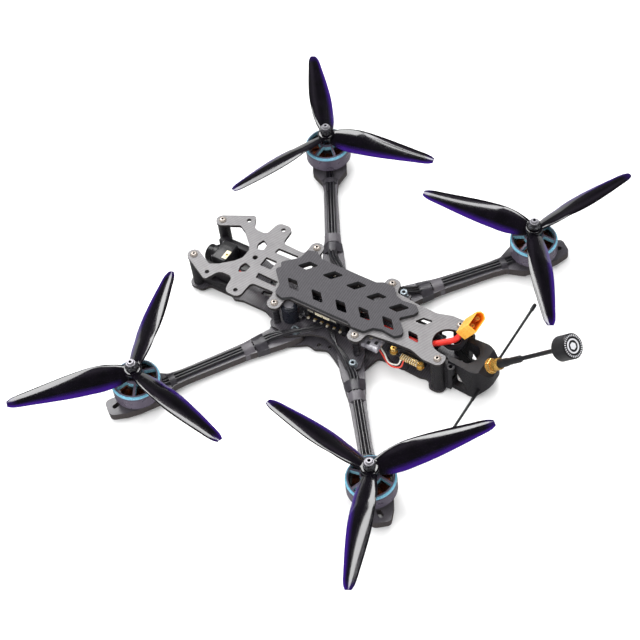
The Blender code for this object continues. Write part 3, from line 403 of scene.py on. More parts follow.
# painted shade: hex sockets and bores near black inside
SOCKET_SHADE = plain("hex_socket_painted_shade", (22, 21, 23), metal=0.6)
GUN = plain("gunmetal_bell", (98, 91, 106), rough=0.32, metal=0.5, vary=0.05, scale=120,
            bump=0.008)
BELL_IN = plain("bell_inside", (20, 34, 40), rough=0.35, metal=0.6, vary=0.3)
BLUE = plain("blue_turned_rim", (112, 178, 204), rough=0.24, metal=0.35, vary=0.12, scale=500,
             wear=(220, 240, 250))
PALE = plain("pale_chamfer", (126, 176, 194), rough=0.25, metal=0.3, vary=0.12, scale=500)
BASE = plain("dark_motor_base", (56, 55, 62), rough=0.4, metal=0.75, wear=(140, 140, 150))
MAGNET = plain("magnet", (120, 120, 125), rough=0.35, metal=0.9)
NUT = plain("lock_nut", (46, 45, 50), rough=0.3, metal=0.85, wear=(170, 170, 175))
NYLON = plain("nylon_ring", (60, 70, 90))
BLACK = plain("black_moulded", (24, 24, 26), rough=0.36, vary=0.25)
BLACK_GLOSS = plain("black_gloss", (18, 17, 19), rough=0.38, coat=0.1, vary=0.35, scale=500)
GOLD = plain("gold_plate", (244, 184, 82), rough=0.2, metal=0.78, vary=0.15, scale=600,
             wear=(250, 225, 160))
TIN = plain("tinned_solder", (196, 190, 176), rough=0.3, metal=0.5, vary=0.2, scale=900,
            bump=0.08)
YELLOW = plain("plug_yellow", (236, 158, 40), rough=0.36, vary=0.08, scale=400,
               wear=(255, 205, 110))
# painted shade: the plug's mouth a deeper orange than its yellow outside
ORANGE_SHADE = plain("plug_inside_painted_shade", (238, 122, 18), rough=0.45, vary=0.1, scale=400)
RED = plain("silicone_red", (206, 40, 32), rough=0.36, vary=0.16, scale=300,
            wear=(240, 120, 100))
WIRE = plain("silicone_black", (22, 21, 25), rough=0.34, vary=0.2, scale=120, bump=0.004,
             coat=0.4, spec=0.6)
WHITE_WIRE = plain("wire_white", (210, 208, 200), rough=0.4)
YELLOW_WIRE = plain("wire_yellow", (205, 170, 60), rough=0.4)
BLUE_WIRE = plain("wire_blue", (40, 80, 150), rough=0.4)
PCB = plain("circuit_board", (20, 20, 26), rough=0.32, vary=0.35, scale=700, coat=0.3)
CHIP = plain("chip", (30, 30, 32), vary=0.2)
CREAM = plain("cream_socket", (214, 204, 176), rough=0.45, vary=0.1)
TAPE = plain("grey_tape", (82, 79, 84), rough=0.42, vary=0.15, scale=180, bump=0.12, fine=700)
TAPE_DARK = plain("black_tape", (48, 46, 51), rough=0.35, vary=0.2, scale=180, bump=0.12,
                  fine=700)
SLEEVE = plain("capacitor_sleeve", (24, 26, 34), rough=0.3, vary=0.2, coat=0.3)
TAN = plain("tan_button", (196, 176, 140))
COPPER = layered_metal("enamelled_copper", period=0.45, dark=(48, 20, 12), light=(112, 56, 34),
                       metal=0.9, rough=0.3, bump=0.1)
LAMINATED = layered_metal("laminated_steel", period=0.4, dark=(40, 36, 36), light=(96, 88, 84),
                          metal=0.7, rough=0.45, bump=0.05)
SHRINK = heat_shrink()
PROP = propeller_plastic()
LENS = coated_glass()


# ---------------------------------------------------------------- outlines (mm)
def spoke(i, count):
    """Cosine and sine of the i-th of count equal turns."""
    angle = TAU * i / count
    return math.cos(angle), math.sin(angle)


def fillet(points, step=9.0):
    """Round the corners of a closed outline of (x, y, radius); step is in degrees."""
    rounded = []
    for i, (x, y, radius) in enumerate(points):
        corner = Vector((x, y))
        back = Vector(points[i - 1][:2]) - corner
        ahead = Vector(points[(i + 1) % len(points)][:2]) - corner
        limit = min(back.length * 0.495, ahead.length * 0.495)
        back.normalize()
        ahead.normalize()
        angle = back.angle(ahead)
        if radius <= 0 or angle > math.radians(176):
            rounded.append((x, y))
            continue
        reach = min(radius / math.tan(angle / 2), limit)
        radius = reach * math.tan(angle / 2)
        centre = corner + (back + ahead).normalized() * (radius / math.sin(angle / 2))
        start, end = corner + back * reach - centre, corner + ahead * reach - centre
        turn = math.pi - angle
        count = max(1, int(math.ceil(math.degrees(turn) / step)))
        sign = 1 if start.x * end.y - start.y * end.x > 0 else -1
        for j in range(count + 1):
            cos, sin = math.cos(sign * turn * j / count), math.sin(sign * turn * j / count)
            rounded.append((centre.x + start.x * cos - start.y * sin,
                            centre.y + start.x * sin + start.y * cos))
    return rounded


def window(radius, *corners):
    """Opening with one corner radius, rounded coarsely."""
    return fillet([(x, y, radius) for x, y in corners], 18)


def circle(x, y, radius):
    return [(x + radius * cos, y + radius * sin) for cos, sin in (spoke(i, 28) for i in range(28))]


def both(shape):
    """The outline and its mirror image in x = 0."""
    return [shape, [(-p[0],) + tuple(p[1:]) for p in shape]]


def holes(places, radius=HOLE_R):
    """Round holes at the places and at their mirror images."""
    return [loop for x, y in places for loop in both(circle(x, y, radius))]


def mirror_half(half):
    return half + [(-p[0],) + tuple(p[1:]) for p in reversed(half) if abs(p[0]) > 1e-6]


def smooth_path(points, steps=6):
    """Catmull-Rom curve through the points."""
    path = []
    for i in range(len(points) - 1):
        p0, p1 = Vector(points[max(i - 1, 0)]), Vector(points[i])
        p2, p3 = Vector(points[i + 1]), Vector(points[min(i + 2, len(points) - 1)])
        for k in range(steps):
            t = k / steps
            path.append(tuple(0.5 * (
                (2 * p1) + (p2 - p0) * t + (2 * p0 - 5 * p1 + 4 * p2 - p3) * t * t
                + (3 * p1 - p0 - 3 * p2 + p3) * t ** 3)))
    path.append(tuple(points[-1]))
    return path


def grooves(top, bottom, pitch, rows):
    """Profile rows repeated down a thread; rows are (radius, drop below the turn's top)."""
    profile, z = [], top
    while z > bottom:
        profile += [(radius, z - drop) for radius, drop in rows]
        z -= pitch
    return profile


# ---------------------------------------------------------------- objects and solids
def at(x, y, z=0.0):
    return Matrix.Translation((x * MM, y * MM, z * MM))


def spin(degrees, axis):
    return Matrix.Rotation(math.radians(degrees), 4, axis)


# carries an outline drawn in (y, z) from the xy plane into the yz plane
SIDEWAYS = Matrix(((0, 0, 1, 0), (1, 0, 0, 0), (0, 1, 0, 0), (0, 0, 0, 1)))


def shade(mesh, angle=32):
    mesh.shade_smooth()
    mesh.set_sharp_from_angle(angle=math.radians(angle))
    return mesh


def new_object(name, mesh, materials=(), matrix=None):
    for material in materials:
        mesh.materials.append(material)
    ob = bpy.data.objects.new(name, mesh)
    bpy.context.scene.collection.objects.link(ob)
    if matrix is not None:
        ob.matrix_world = matrix
    return ob


def flat(name, loops, levels, *materials, bevel=0.2, matrix=None):
    """Outline with holes, extruded between two levels, its rims chamfered."""
    curve = bpy.data.curves.new("outline", "CURVE")
    curve.dimensions = "2D"
    curve.fill_mode = "BOTH"
    curve.extrude = (levels[1] - levels[0]) / 2 * MM
    for loop in loops:
        spline = curve.splines.new("POLY")
        spline.points.add(len(loop) - 1)
        for point, (x, y) in zip(spline.points, loop):
            point.co = (x * MM, y * MM, 0, 1)
        spline.use_cyclic_u = True
    ob = new_object("outline", curve)
    bpy.context.view_layer.update()
    graph = bpy.context.evaluated_depsgraph_get()
    mesh = bpy.data.meshes.new_from_object(ob.evaluated_get(graph))
    bpy.data.objects.remove(ob)
    solid = Solid()
    bm = solid.mesh
    bm.from_mesh(mesh)
    bpy.data.meshes.remove(mesh)
    bmesh.ops.remove_doubles(bm, verts=bm.verts, dist=1e-6)
    bmesh.ops.recalc_face_normals(bm, faces=bm.faces)
    bmesh.ops.translate(bm, verts=bm.verts, vec=(0, 0, (levels[0] + levels[1]) / 2 * MM))
    bm.normal_update()
    if bevel:
        rim = []
        for edge in bm.edges:
            level = [abs(face.normal.z) > 0.9 for face in edge.link_faces]
            if len(level) == 2 and level[0] != level[1]:
                rim.append(edge)
        bmesh.ops.bevel(bm, geom=rim, offset=bevel * MM, offset_type="OFFSET", segments=1,
                        affect="EDGES", clamp_overlap=True)
        bmesh.ops.remove_doubles(bm, verts=bm.verts, dist=2e-6)
    return new_object(name, shade(solid.to_mesh(name)), materials, matrix)


class Solid:
    """A mesh in the making. turn, box, sweep and button_head take mm and return the solid."""

    def __init__(self):
        self.mesh = bmesh.new()

    def face(self, material, *verts):
        self.mesh.faces.new(verts).material_index = material

    def ring(self, points):
        """Vertices at points in metres."""
        return [self.mesh.verts.new(p) for p in points]

    def round_ring(self, radius, z, count, matrix=UNMOVED):
        turns = (spoke(i, count) for i in range(count))
        return self.ring(matrix @ Vector((radius * MM * cos, radius * MM * sin, z * MM))
                         for cos, sin in turns)

    def band(self, upper, lower, material=0):
        """Faces between two rings, either of which may be a single point."""
        count = max(len(upper), len(lower))
        for i in range(count):
            j = (i + 1) % count
            if len(upper) == 1:
                self.face(material, upper[0], lower[i], lower[j])
            elif len(lower) == 1:
                self.face(material, upper[i], lower[0], upper[j])
            else:
                self.face(material, upper[i], lower[i], lower[j], upper[j])

    def loft(self, rings, material=0, closed=False, flip_caps=False):
        """Skin a row of equal rings, joined end to end or capped."""
        count = len(rings[0])
        for near, far in zip(rings, rings[1:] + (rings[:1] if closed else [])):
            for i in range(count):
                j = (i + 1) % count
                self.face(material, near[i], near[j], far[j], far[i])
        if not closed:
            first, last = rings[0], rings[-1]
            self.face(material, *(reversed(first) if flip_caps else first))
            self.face(material, *(last if flip_caps else reversed(last)))

    def turn(self, profile, steps=48, material=0, matrix=UNMOVED):
        """Turned shape; profile rows are (radius, z[, material]).

        They run from the top, down the outside, to the bottom. A profile that starts
        off the axis is closed into a tube.
        """
        rings = [self.round_ring(row[0], row[1], steps if row[0] else 1, matrix)
                 for row in profile]
        lowers = rings[1:] + (rings[:1] if profile[0][0] > 0 else [])
        for row, upper, lower in zip(profile, rings, lowers):
            self.band(upper, lower, row[2] if len(row) > 2 else material)
        return self

    def box(self, low, high, bevel=0.2, material=0, matrix=None, segments=2):
        centre = Vector([(a + b) / 2 * MM for a, b in zip(low, high)])
        size = [(b - a) * MM for a, b in zip(low, high)]
        part = bmesh.new()
        bmesh.ops.create_cube(part, size=1, matrix=Matrix.Translation(centre)
                              @ Matrix.Diagonal((*size, 1)))
        if bevel:
            bmesh.ops.bevel(part, geom=list(part.edges), offset=min(bevel * MM, min(size) * 0.45),
                            segments=segments, profile=0.5, affect="EDGES", clamp_overlap=True)
        for face in part.faces:
            face.material_index = material
        if matrix is not None:
            bmesh.ops.transform(part, matrix=matrix, verts=part.verts)
        mesh = bpy.data.meshes.new("part")
        part.to_mesh(mesh)
        part.free()
        self.mesh.from_mesh(mesh)
        bpy.data.meshes.remove(mesh)
        return self

    def sweep(self, points, radius, sides=12, material=0):
        """Round tube along the points; radius is a number or one for each point."""
        path = [Vector(p) for p in points]
        radii = radius if isinstance(radius, list) else [radius] * len(path)
        side = (path[1] - path[0]).normalized().cross(Vector((0, 0, 1)))
        side.normalize()
        rings = []
        for i, centre in enumerate(path):
            ahead = (path[min(i + 1, len(path) - 1)] - path[max(i - 1, 0)]).normalized()
            side = (side - ahead * side.dot(ahead)).normalized()
            other = ahead.cross(side)
            rings.append(self.ring((centre + (side * cos + other * sin) * radii[i]) * MM
                                   for cos, sin in (spoke(k, sides) for k in range(sides))))
        self.loft(rings, material, flip_caps=True)
        return self

    def button_head(self, x, y, z, up=True, radius=HEAD_R, height=1.7):
        """Button head with a hex socket, its flat under-face at z."""
        place = at(x, y, z) @ (UNMOVED if up else spin(180, "X"))
        rim_r = HEX_R * 1.12
        self.turn([(rim_r, height), (radius * 0.62, height * 0.98), (radius * 0.86, height * 0.72),
                   (radius * 0.98, height * 0.34), (radius, 0.05), (radius, 0.0), (rim_r, 0.0)],
                  24, matrix=place)
        rim = self.round_ring(rim_r, height, 24, place)
        upper = self.round_ring(HEX_R, height - 0.05, 6, place)
        lower = self.round_ring(HEX_R, height * 0.35, 6, place)
        for i in range(24):
            j, corner = (i + 1) % 24, i // 4
            self.face(0, rim[i], rim[j], upper[corner])
            if j % 4 == 0:
                self.face(0, rim[j], upper[(corner + 1) % 6], upper[corner])
        # the socket's walls and floor take the second material, painted shade
        for i in range(6):
            j = (i + 1) % 6
            self.face(1, upper[i], upper[j], lower[j], lower[i])
        self.face(1, *lower)
        return self

    def outward(self):
        bmesh.ops.recalc_face_normals(self.mesh, faces=self.mesh.faces)
        return self

    def to_mesh(self, name, *materials):
        mesh = bpy.data.meshes.new(name)
        self.mesh.to_mesh(mesh)
        self.mesh.free()
        for material in materials:
            mesh.materials.append(material)
        return mesh

    def build(self, name, *materials, angle=32, matrix=None):
        mesh = shade(self.outward().to_mesh(name), angle)
        return new_object(name, mesh, materials, matrix)


def put(ob, slot, *nodes, body="frame"):
    """Bake the object's place into its mesh and hand it to the frame."""
    bpy.context.view_layer.update()
    if ob.matrix_world != UNMOVED:
        ob.data.transform(ob.matrix_world)
        ob.matrix_world = UNMOVED
    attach(ob, body)
    if nodes:
        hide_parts(*nodes)


def paint(ob, index):
    """Give every face one material index."""
    for polygon in ob.data.polygons:
        polygon.material_index = index
    return ob


JOIN, CUT = "UNION", "DIFFERENCE"


def carve(ob, steps):
    """Apply exact booleans, given as (operation, tool), and delete the tools."""
    for operation, tool in steps:
        modifier = ob.modifiers.new("b", "BOOLEAN")
        modifier.operation = operation
        modifier.solver = "EXACT"
        modifier.object = tool
    bpy.context.view_layer.update()
    graph = bpy.context.evaluated_depsgraph_get()
    mesh = bpy.data.meshes.new_from_object(ob.evaluated_get(graph))
    old = ob.data
    ob.modifiers.clear()
    ob.data = mesh
    bpy.data.meshes.remove(old)
    for _, tool in steps:
        data = tool.data
        bpy.data.objects.remove(tool)
        bpy.data.meshes.remove(data)


def drum(radius, levels, x=0.0, y=0.0, steps=40, matrix=None, material=TPU):
    """Cylinder to join or cut with."""
    solid = Solid().turn([(0, levels[1]), (radius, levels[1]), (radius, levels[0]),
                          (0, levels[0])], steps)
    bm = solid.mesh
    bmesh.ops.translate(bm, verts=bm.verts, vec=(x * MM, y * MM, 0))
    if matrix is not None:
        bmesh.ops.transform(bm, matrix=matrix, verts=bm.verts)
    return solid.build("tool", material)


# ---------------------------------------------------------------- plates
# half outlines run down the right side: x, y, corner radius
TOP_HALF = [
    (0, 83.5, 0), (4.0, 83.5, 3), (9.2, 86.9, 6), (17.4, 96.0, 5), (20.9, 102.3, 2.5),
    (12.2, 119.5, 4.9), (21.1, 124.0, 4.9), (34.6, 97.2, 4.6), (30.1, 94.9, 3.0),
    (22.9, 91.6, 6.3), (22.9, 80.2, 6.3), (29.8, 79.4, 4.0), (36.6, 77.8, 5.6),
    (37.2, 65.4, 5.6), (27.0, 65.2, 2.0), (21.2, 64.6, 4.5), (20.6, 52.0, 8),
    (20.6, 45.4, 2.0), (33.9, 45.0, 4.9), (33.9, 34.8, 4.9), (20.6, 34.6, 2.0),
    (20.6, -20.4, 2.0), (31.1, -20.8, 4.8), (31.1, -31.4, 4.8), (20.9, -33.0, 3.0),
    (18.6, -52.0, 12), (18.0, -67.0, 10), (21.5, -78.0, 8), (21.5, -92.0, 4.9),
    (11.4, -92.0, 4.9), (11.2, -86.0, 0.5),
]
PAD_HALF = [
    (0, 52.2, 0), (3.6, 54.6, 1.5), (13.6, 44.4, 2.0), (22.4, 43.2, 2.5), (24.2, 36.0, 3.0),
    (19.9, 30.2, 3.0), (19.9, -16.4, 2.0), (22.6, -21.4, 2.5), (21.9, -31.0, 2.5),
    (16.3, -35.2, 2.0), (14.4, -41.5, 3.0), (15.6, -52.0, 2.5), (11.6, -56.4, 2.5),
    (7.4, -54.6, 1.5), (0, -46.8, 1.5),
]
BOTTOM_HALF = [
    (0, 121.0, 0), (10.0, 121.0, 3), (13.5, 123.6, 2), (25.4, 123.6, 5.5), (25.4, 110.8, 4),
    (19.4, 107.6, 4), (19.4, 88.0, 4), (21.6, 84.0, 3), (19.6, 77.5, 4), (19.6, 58.0, 6),
    (24.0, 46.6, 2), (34.6, 45.6, 5.0), (34.6, 34.0, 5), (40.0, 27.0, 3), (31.0, 13.0, 4),
    (32.2, 6.4, 3), (28.4, -1.8, 6), (32.4, -9.6, 3), (41.8, -25.0, 3), (39.4, -35.4, 4),
    (30.0, -34.5, 4), (16.8, -38.0, 4), (16.2, -57.0, 10), (17.0, -72.0, 6), (15.4, -78.5, 4),
    (21.9, -82.0, 4), (21.9, -92.3, 5), (11.0, -92.3, 4), (9.0, -84.0, 4), (0, -82.0, 0),
]
MIDDLE_HALF = [
    (0, 34.0, 0), (17.5, 34.0, 3), (23.6, 44.6, 3), (34.2, 45.0, 5.0), (34.6, 35.0, 5),
    (38.0, 27.6, 4), (27.0, 12.0, 5), (24.5, 2.0, 6), (28.0, -9.0, 5), (41.2, -26.0, 4),
    (37.4, -35.6, 4), (24.0, -31.6, 4), (17.0, -27.0, 4), (0, -27.0, 0),
]
# slanted windows shared by the top plate and the battery pad
CUTOUT_CENTRES = [(9.9, 35.3), (10.8, 14.6), (10.6, -5.4), (8.5, -23.3), (7.6, -42.3)]


def cutouts(grow=0.0):
    return [loop for x, y in CUTOUT_CENTRES for loop in both(window(
        0.8, (x - 3.6 - grow, y + 7.2 + grow), (x - 3.9 - grow, y - 0.8),
        (x + 3.6 + grow, y - 7.2 - grow), (x + 3.9 + grow, y + 0.8)))]


# top plate, with a round bay in its tail
BAY_R, BAY_Y = 10.9, -86.0
bay = [(BAY_R * math.cos(math.radians(a)), BAY_Y + BAY_R * math.sin(math.radians(a)), 0)
       for a in range(8, 88, 8)]
loops = [fillet(mirror_half(TOP_HALF + bay + [(0, -75.1, 0)]))]
loops += holes(STANDOFF_XY.values()) + holes(OPEN_HOLES)
loops += both(fillet([(7.3, 79.1, 1.2), (8.8, 73.6, 1.5), (14.4, 74.3, 1.5), (17.3, 79.2, 1.2),
                      (12.0, 80.8, 2)]))
loops += both(window(0.8, (10.8, 65.4), (15.6, 64.7), (16.0, 47.4), (11.2, 48.0)))
loops.append(circle(0, 75.4, 2.0))
loops.append(window(0.8, (-4.3, 68.4), (4.3, 68.4), (4.3, 58.8), (-4.3, 58.8)))
loops += both(window(0.8, (4.3, -56.6), (10.2, -60.6), (11.0, -68.6), (5.0, -64.6)))
loops += cutouts(grow=0.5)
put(flat("top_plate_twill", loops, TOP_Z, CARBON_TOP, bevel=0.25), "carbon_plate", "top_plate")

# battery pad
put(flat("battery_pad_ribbed", [fillet(mirror_half(PAD_HALF))] + cutouts(),
         (PAD_Z[0] - 0.25, PAD_Z[1]), RIB_PAD, bevel=0.45), "battery_pad", "battery_pad")

# bottom plate
loops = [fillet(mirror_half(BOTTOM_HALF))] + holes(STANDOFF_XY.values()) + holes(ARM_BOLTS)
loops += both(window(0.8, (4.4, 69.5), (8.2, 69.0), (7.0, 61.5), (3.6, 61.8)))
loops += both(window(1, (5.0, 104.0), (13.0, 104.0), (13.0, 92.0), (5.0, 90.0)))
loops.append(window(1, (-5.0, 54.0), (5.0, 54.0), (5.0, 42.0), (-5.0, 42.0)))
loops += [circle(x, y, HOLE_R) for x, y in STACK_XY]
for y in (-46.0, -60.0):
    loops.append(window(1.5, (-8, y + 4), (8, y + 4), (8, y - 4), (-8, y - 4)))
loops += holes([(27.6, 5.6)], 1.6) + holes([(25.4, -2.2)], 1.2)
put(flat("bottom_plate_twill", loops, BOTTOM_Z, CARBON_LOW_SHADED, bevel=0.3),
    "carbon_arm", "bottom_plate")

# middle plate
loops = [fillet(mirror_half(MIDDLE_HALF))]
loops += holes([STANDOFF_XY["front"], STANDOFF_XY["mid"]]) + holes(ARM_BOLTS)
loops += [circle(x, y, HOLE_R) for x, y in STACK_XY]
loops.append(circle(0, STACK_Y, 6.0))
put(flat("middle_plate_twill", loops, MIDDLE_Z, CARBON_LOW_SHADED, bevel=0.25),
    "carbon_arm", "middle_plate")


# ---------------------------------------------------------------- arms
class Arm:
    """One arm's own axes: out runs from root to motor, across is out turned anticlockwise."""

    def __init__(self, key):
        x, y = ROTORS[key][:2]
        root_x, root_y = ARM_ROOT[key[0]]
        self.key = key
        self.front = key[0] == "f"
        self.side = -1 if x < 0 else 1
        self.motor = Vector((x, y))
        self.out = Vector((x - self.side * root_x, y - root_y)).normalized()
        self.across = Vector((-self.out.y, self.out.x))
        self.length = (self.motor - Vector((self.side * root_x, root_y))).length

    def spot(self, along, off):
        return self.motor + self.out * along + self.across * off

    def above(self, along, lift, off):
        """Point over the arm's top face."""
        return Vector((*self.spot(along, off), ARM_Z[1] + lift))

    def motor_screws(self):
        return [self.motor + self.out * MOTOR_SCREW_RADIUS * math.cos(math.radians(angle))
                + self.across * MOTOR_SCREW_RADIUS * math.sin(math.radians(angle))
                for angle in (45, 135, 225, 315)]


ARMS = [Arm(key) for key in ROTORS]

for arm in ARMS:
    length = arm.length
    # along, off, corner radius: one edge from the motor end to the root
    edge = [
        (25.2, 3.0, 0), (25.2, 8.8, 6.6), (14.0, 12.4, 4), (6.0, 13.4, 4), (-13.0, 13.2, 4),
        (-24.0, 6.0, 6), (-34.0, 5.2, 10), (-length + 46, 5.9, 10), (-length + 22, 8.6, 10),
        (-length + 4, 9.4, 4), (-length, 0, 0),
    ]
    edge += [(p[0], -p[1], p[2]) for p in reversed(edge[4:]) if p[1] > 1e-6]
    edge += [(10.0, -13.0, 4), (15.0, -4.8, 4), (25.2, -4.8, 6.6)]
    slot = fillet([(14.8, 3.0, 1.75), (20.8, 5.2, 1.75), (22.0, 2.0, 1.75), (16.0, -0.2, 1.75)],
                  15)
    aft = -arm.side
    loops = [fillet([(*arm.spot(u, aft * v), radius) for u, v, radius in edge]),
             [tuple(arm.spot(u, aft * v)) for u, v in slot],
             circle(*ROTORS[arm.key][:2], 3.6)]
    loops += [circle(p.x, p.y, HOLE_R) for p in arm.motor_screws()]
    bolts = [ARM_BOLTS[0]] if arm.front else [ARM_BOLTS[1], STANDOFF_XY["mid"]]
    loops += [circle(arm.side * x, y, HOLE_R) for x, y in bolts]
    put(flat("arm_twill_" + arm.key, loops, ARM_Z, CARBON_ARM, bevel=0.6),
        "carbon_arm", "arm_" + arm.key)


# ---------------------------------------------------------------- screws and standoffs
def screw(name, x, y, z, up):
    put(Solid().button_head(x, y, z, up).build(name, SCREW, SOCKET_SHADE), "black_hardware")


def standoff_profile(foot, top):
    """Post with a grooved waist."""
    middle, waist = (top + foot) / 2, 2.35
    profile = [(0, top), (2.3, top), (STANDOFF_R, top - 0.3), (STANDOFF_R, middle + 4.2),
               (waist, middle + 3.8)]
    for i in range(7):
        z = middle + 3.4 - i * 1.13
        profile += [(waist, z + 0.25), (2.55, z), (2.55, z - 0.4), (waist, z - 0.65)]
    return profile + [(waist, middle - 4.4), (STANDOFF_R, middle - 4.8),
                      (STANDOFF_R, foot + 0.3), (2.3, foot), (0, foot)]


for key, (x0, y) in STANDOFF_XY.items():
    foot = BOTTOM_Z[1] if key in ("nose", "tail") else MIDDLE_Z[1]
    for side, tag in SIDES:
        x = side * x0
        post = Solid().turn(standoff_profile(foot, TOP_Z[0]), 28)
        put(post.build(f"standoff_post_{key}_{tag}", ALU_BLACK, matrix=at(x, y)),
            "black_hardware", f"standoff_{key}_{tag}")
        screw(f"screw_top_{key}_{tag}", x, y, TOP_Z[1], up=True)
        screw(f"screw_bottom_{key}_{tag}", x, y, 0.0, up=False)

# arm bolts: washer, collar and hexagon on the middle plate, head below
for i, (x0, y) in enumerate(ARM_BOLTS):
    for side, tag in SIDES:
        place = at(side * x0, y, MIDDLE_Z[1])
        bolt = Solid()
        bolt.turn([(1.6, 0.5), (3.4, 0.5), (3.5, 0.4), (3.5, 0.0), (1.6, 0.0)], 28, 0, place)
        bolt.turn([(1.35, 3.3), (2.5, 3.3), (2.75, 3.05), (2.75, 0.5), (1.35, 0.5)], 28, 0, place)
        # the hexagon at the bottom of the collar's bore is painted shade
        bolt.turn([(0, 1.6), (1.36, 1.6), (1.36, 0.5), (0, 0.5)], 6, 1, place)
        put(bolt.build(f"arm_bolt_{i}_{tag}", STEEL, SOCKET_SHADE), "black_hardware")
        screw(f"arm_bolt_foot_{i}_{tag}", side * x0, y, 0.0, up=False)

# stack bolts: rod, hex nut, two spacers, head below
stack = Solid()
for x, y in STACK_XY:
    place = at(x, y)
    stack.turn([(0, 28.6), (1.2, 28.6), (1.45, 28.3), (1.45, 0.2), (0, 0.2)], 20, 0, place)
    stack.turn([(1.45, 28.0), (2.7, 28.0), (2.8, 27.8), (2.8, 26.3), (1.45, 26.3)], 6, 1, place)
    stack.turn([(1.5, 24.5), (2.6, 24.4), (2.6, 23.0), (2.1, 22.6), (2.6, 22.2), (2.6, 16.4),
                (1.5, 16.3)], 24, 2, place)
    stack.turn([(1.5, 14.5), (2.6, 14.4), (2.6, 11.2), (1.5, 11.1)], 24, 2, place)
    stack.turn([(0, -0.02), (2.8, -0.02), (2.6, -1.2), (1.8, -1.7), (0, -1.7)], 24, 0, place)
put(stack.build("stack_bolts_and_nuts", ALU_BLACK, NYLON, BLACK), "black_hardware")


# ---------------------------------------------------------------- motors, centred on the axis
def bell_mesh():
    """Can with a turned blue rim and six sloping spokes between open windows."""
    blue, inside, pale = 1, 2, 3
    bore = SHAFT_R + 0.05
    solid = Solid().turn([
        (bore, SEAT_Z), (5.4, SEAT_Z, pale), (5.8, SEAT_Z - 0.25), (6.2, 30.4), (7.2, 29.85),
        (14.8, 27.1), (15.3, 26.75), (16.2, 26.35, blue), (16.9, 25.9, blue),
        (17.35, 25.3, blue), (17.45, 24.7), (17.3, 23.9), (17.3, 23.6), (17.5, 23.3),
        (BELL_R, 15.0), (17.3, 14.7), (17.3, 14.4), (BELL_R, 14.1), (BELL_R, 13.8),
        (17.2, BELL_FOOT_Z), (15.9, BELL_FOOT_Z, inside), (15.9, 23.2, inside),
        (15.3, 23.6, inside), (6.8, 26.6, inside), (6.0, 24.4, inside), (bore, 24.4, inside),
    ], 96)
    materials = (GUN, BLUE, BELL_IN, PALE)
    ob = new_object("bell_shell", solid.to_mesh("bell_shell"), materials)
    inner, outer, half_spoke, lean, count = 7.3, 15.2, 0.85, math.radians(7), 8
    inset_in, inset_out = math.asin(half_spoke / inner), math.asin(half_spoke / outer)
    tools = []
    for i in range(6):
        start, end = math.radians(60 * i), math.radians(60 * (i + 1))
        points = []
        for j in range(count + 1):
            a = start + inset_out + (end - start - 2 * inset_out) * j / count
            points.append((outer * math.cos(a), outer * math.sin(a)))
        for j in range(count + 1):
            a = end - inset_in - (end - start - 2 * inset_in) * j / count + lean
            points.append((inner * math.cos(a), inner * math.sin(a)))
        tools.append((CUT, paint(flat("tool", [points], (20, 34), *materials, bevel=0), pale)))
    carve(ob, tools)
    mesh = ob.data
    bpy.data.objects.remove(ob)
    return shade(mesh, 30)


def magnets_mesh():
    solid = Solid()
    section = ((15.05, 22.6), (15.85, 22.6), (15.85, 13.7), (15.05, 13.7))
    for i in range(14):
        rings = []
        for j in range(5):
            a = TAU * i / 14 + math.radians(20.5) * (j / 4 - 0.5)
            rings.append(solid.ring((r * MM * math.cos(a), r * MM * math.sin(a), z * MM)
                                    for r, z in section))
        solid.loft(rings)
    return shade(solid.outward().to_mesh("magnets", MAGNET))


def windings_mesh():
    """Twelve coils of six turns round the stator's teeth."""
    solid = Solid()
    sides, wire_r = 6, 0.48
    for i in range(12):
        rotation = Matrix.Rotation(TAU * i / 12, 4, "Z")
        outward = rotation @ Vector((1, 0, 0))
        for k in range(6):
            r = 7.4 + k * 0.95
            w = 1.15 + 0.26 * k
            turn = [(-w, 22.2), (w, 22.2), (w + 0.25, 21.6), (w + 0.25, 13.2),
                    (w, 12.6), (-w, 12.6), (-w - 0.25, 13.2), (-w - 0.25, 21.6)]
            points = [rotation @ Vector((r, y, z)) for y, z in turn]
            rings = []
            for j, p in enumerate(points):
                other = (points[(j + 1) % 8] - points[j - 1]).normalized().cross(outward)
                rings.append(solid.ring((p + (outward * cos + other * sin) * wire_r) * MM
                                        for cos, sin in (spoke(q, sides) for q in range(sides))))
            solid.loft(rings, closed=True)
    return shade(solid.outward().to_mesh("windings", COPPER), 60)


# blade stations: radius, chord
CHORDS = [(4, 10.4), (10, 14.6), (20, 18.4), (32, 18.8), (45, 17.6), (60, 14.6), (74, 11.1),
          (84, 8.4), (88.9, 5.0)]


def chord(r):
    """Blade chord by cubic Hermite through the stations."""
    if r <= CHORDS[0][0]:
        return CHORDS[0][1]
    for i in range(len(CHORDS) - 1):
        (r0, c0), (r1, c1) = CHORDS[i:i + 2]
        if r > r1:
            continue
        before, after = CHORDS[max(i - 1, 0)], CHORDS[min(i + 2, len(CHORDS) - 1)]
        slope0 = (c1 - before[1]) / (r1 - before[0])
        slope1 = (after[1] - c0) / (after[0] - r0)
        h = r1 - r0
        t = (r - r0) / h
        return ((2 * t ** 3 - 3 * t * t + 1) * c0 + (t ** 3 - 2 * t * t + t) * h * slope0
                + (3 * t * t - 2 * t ** 3) * c1 + (t ** 3 - t * t) * h * slope1)
    return CHORDS[-1][1]


def blade_angle(r):
    return math.atan2(PROP_PITCH / TAU, max(r, 26.0))


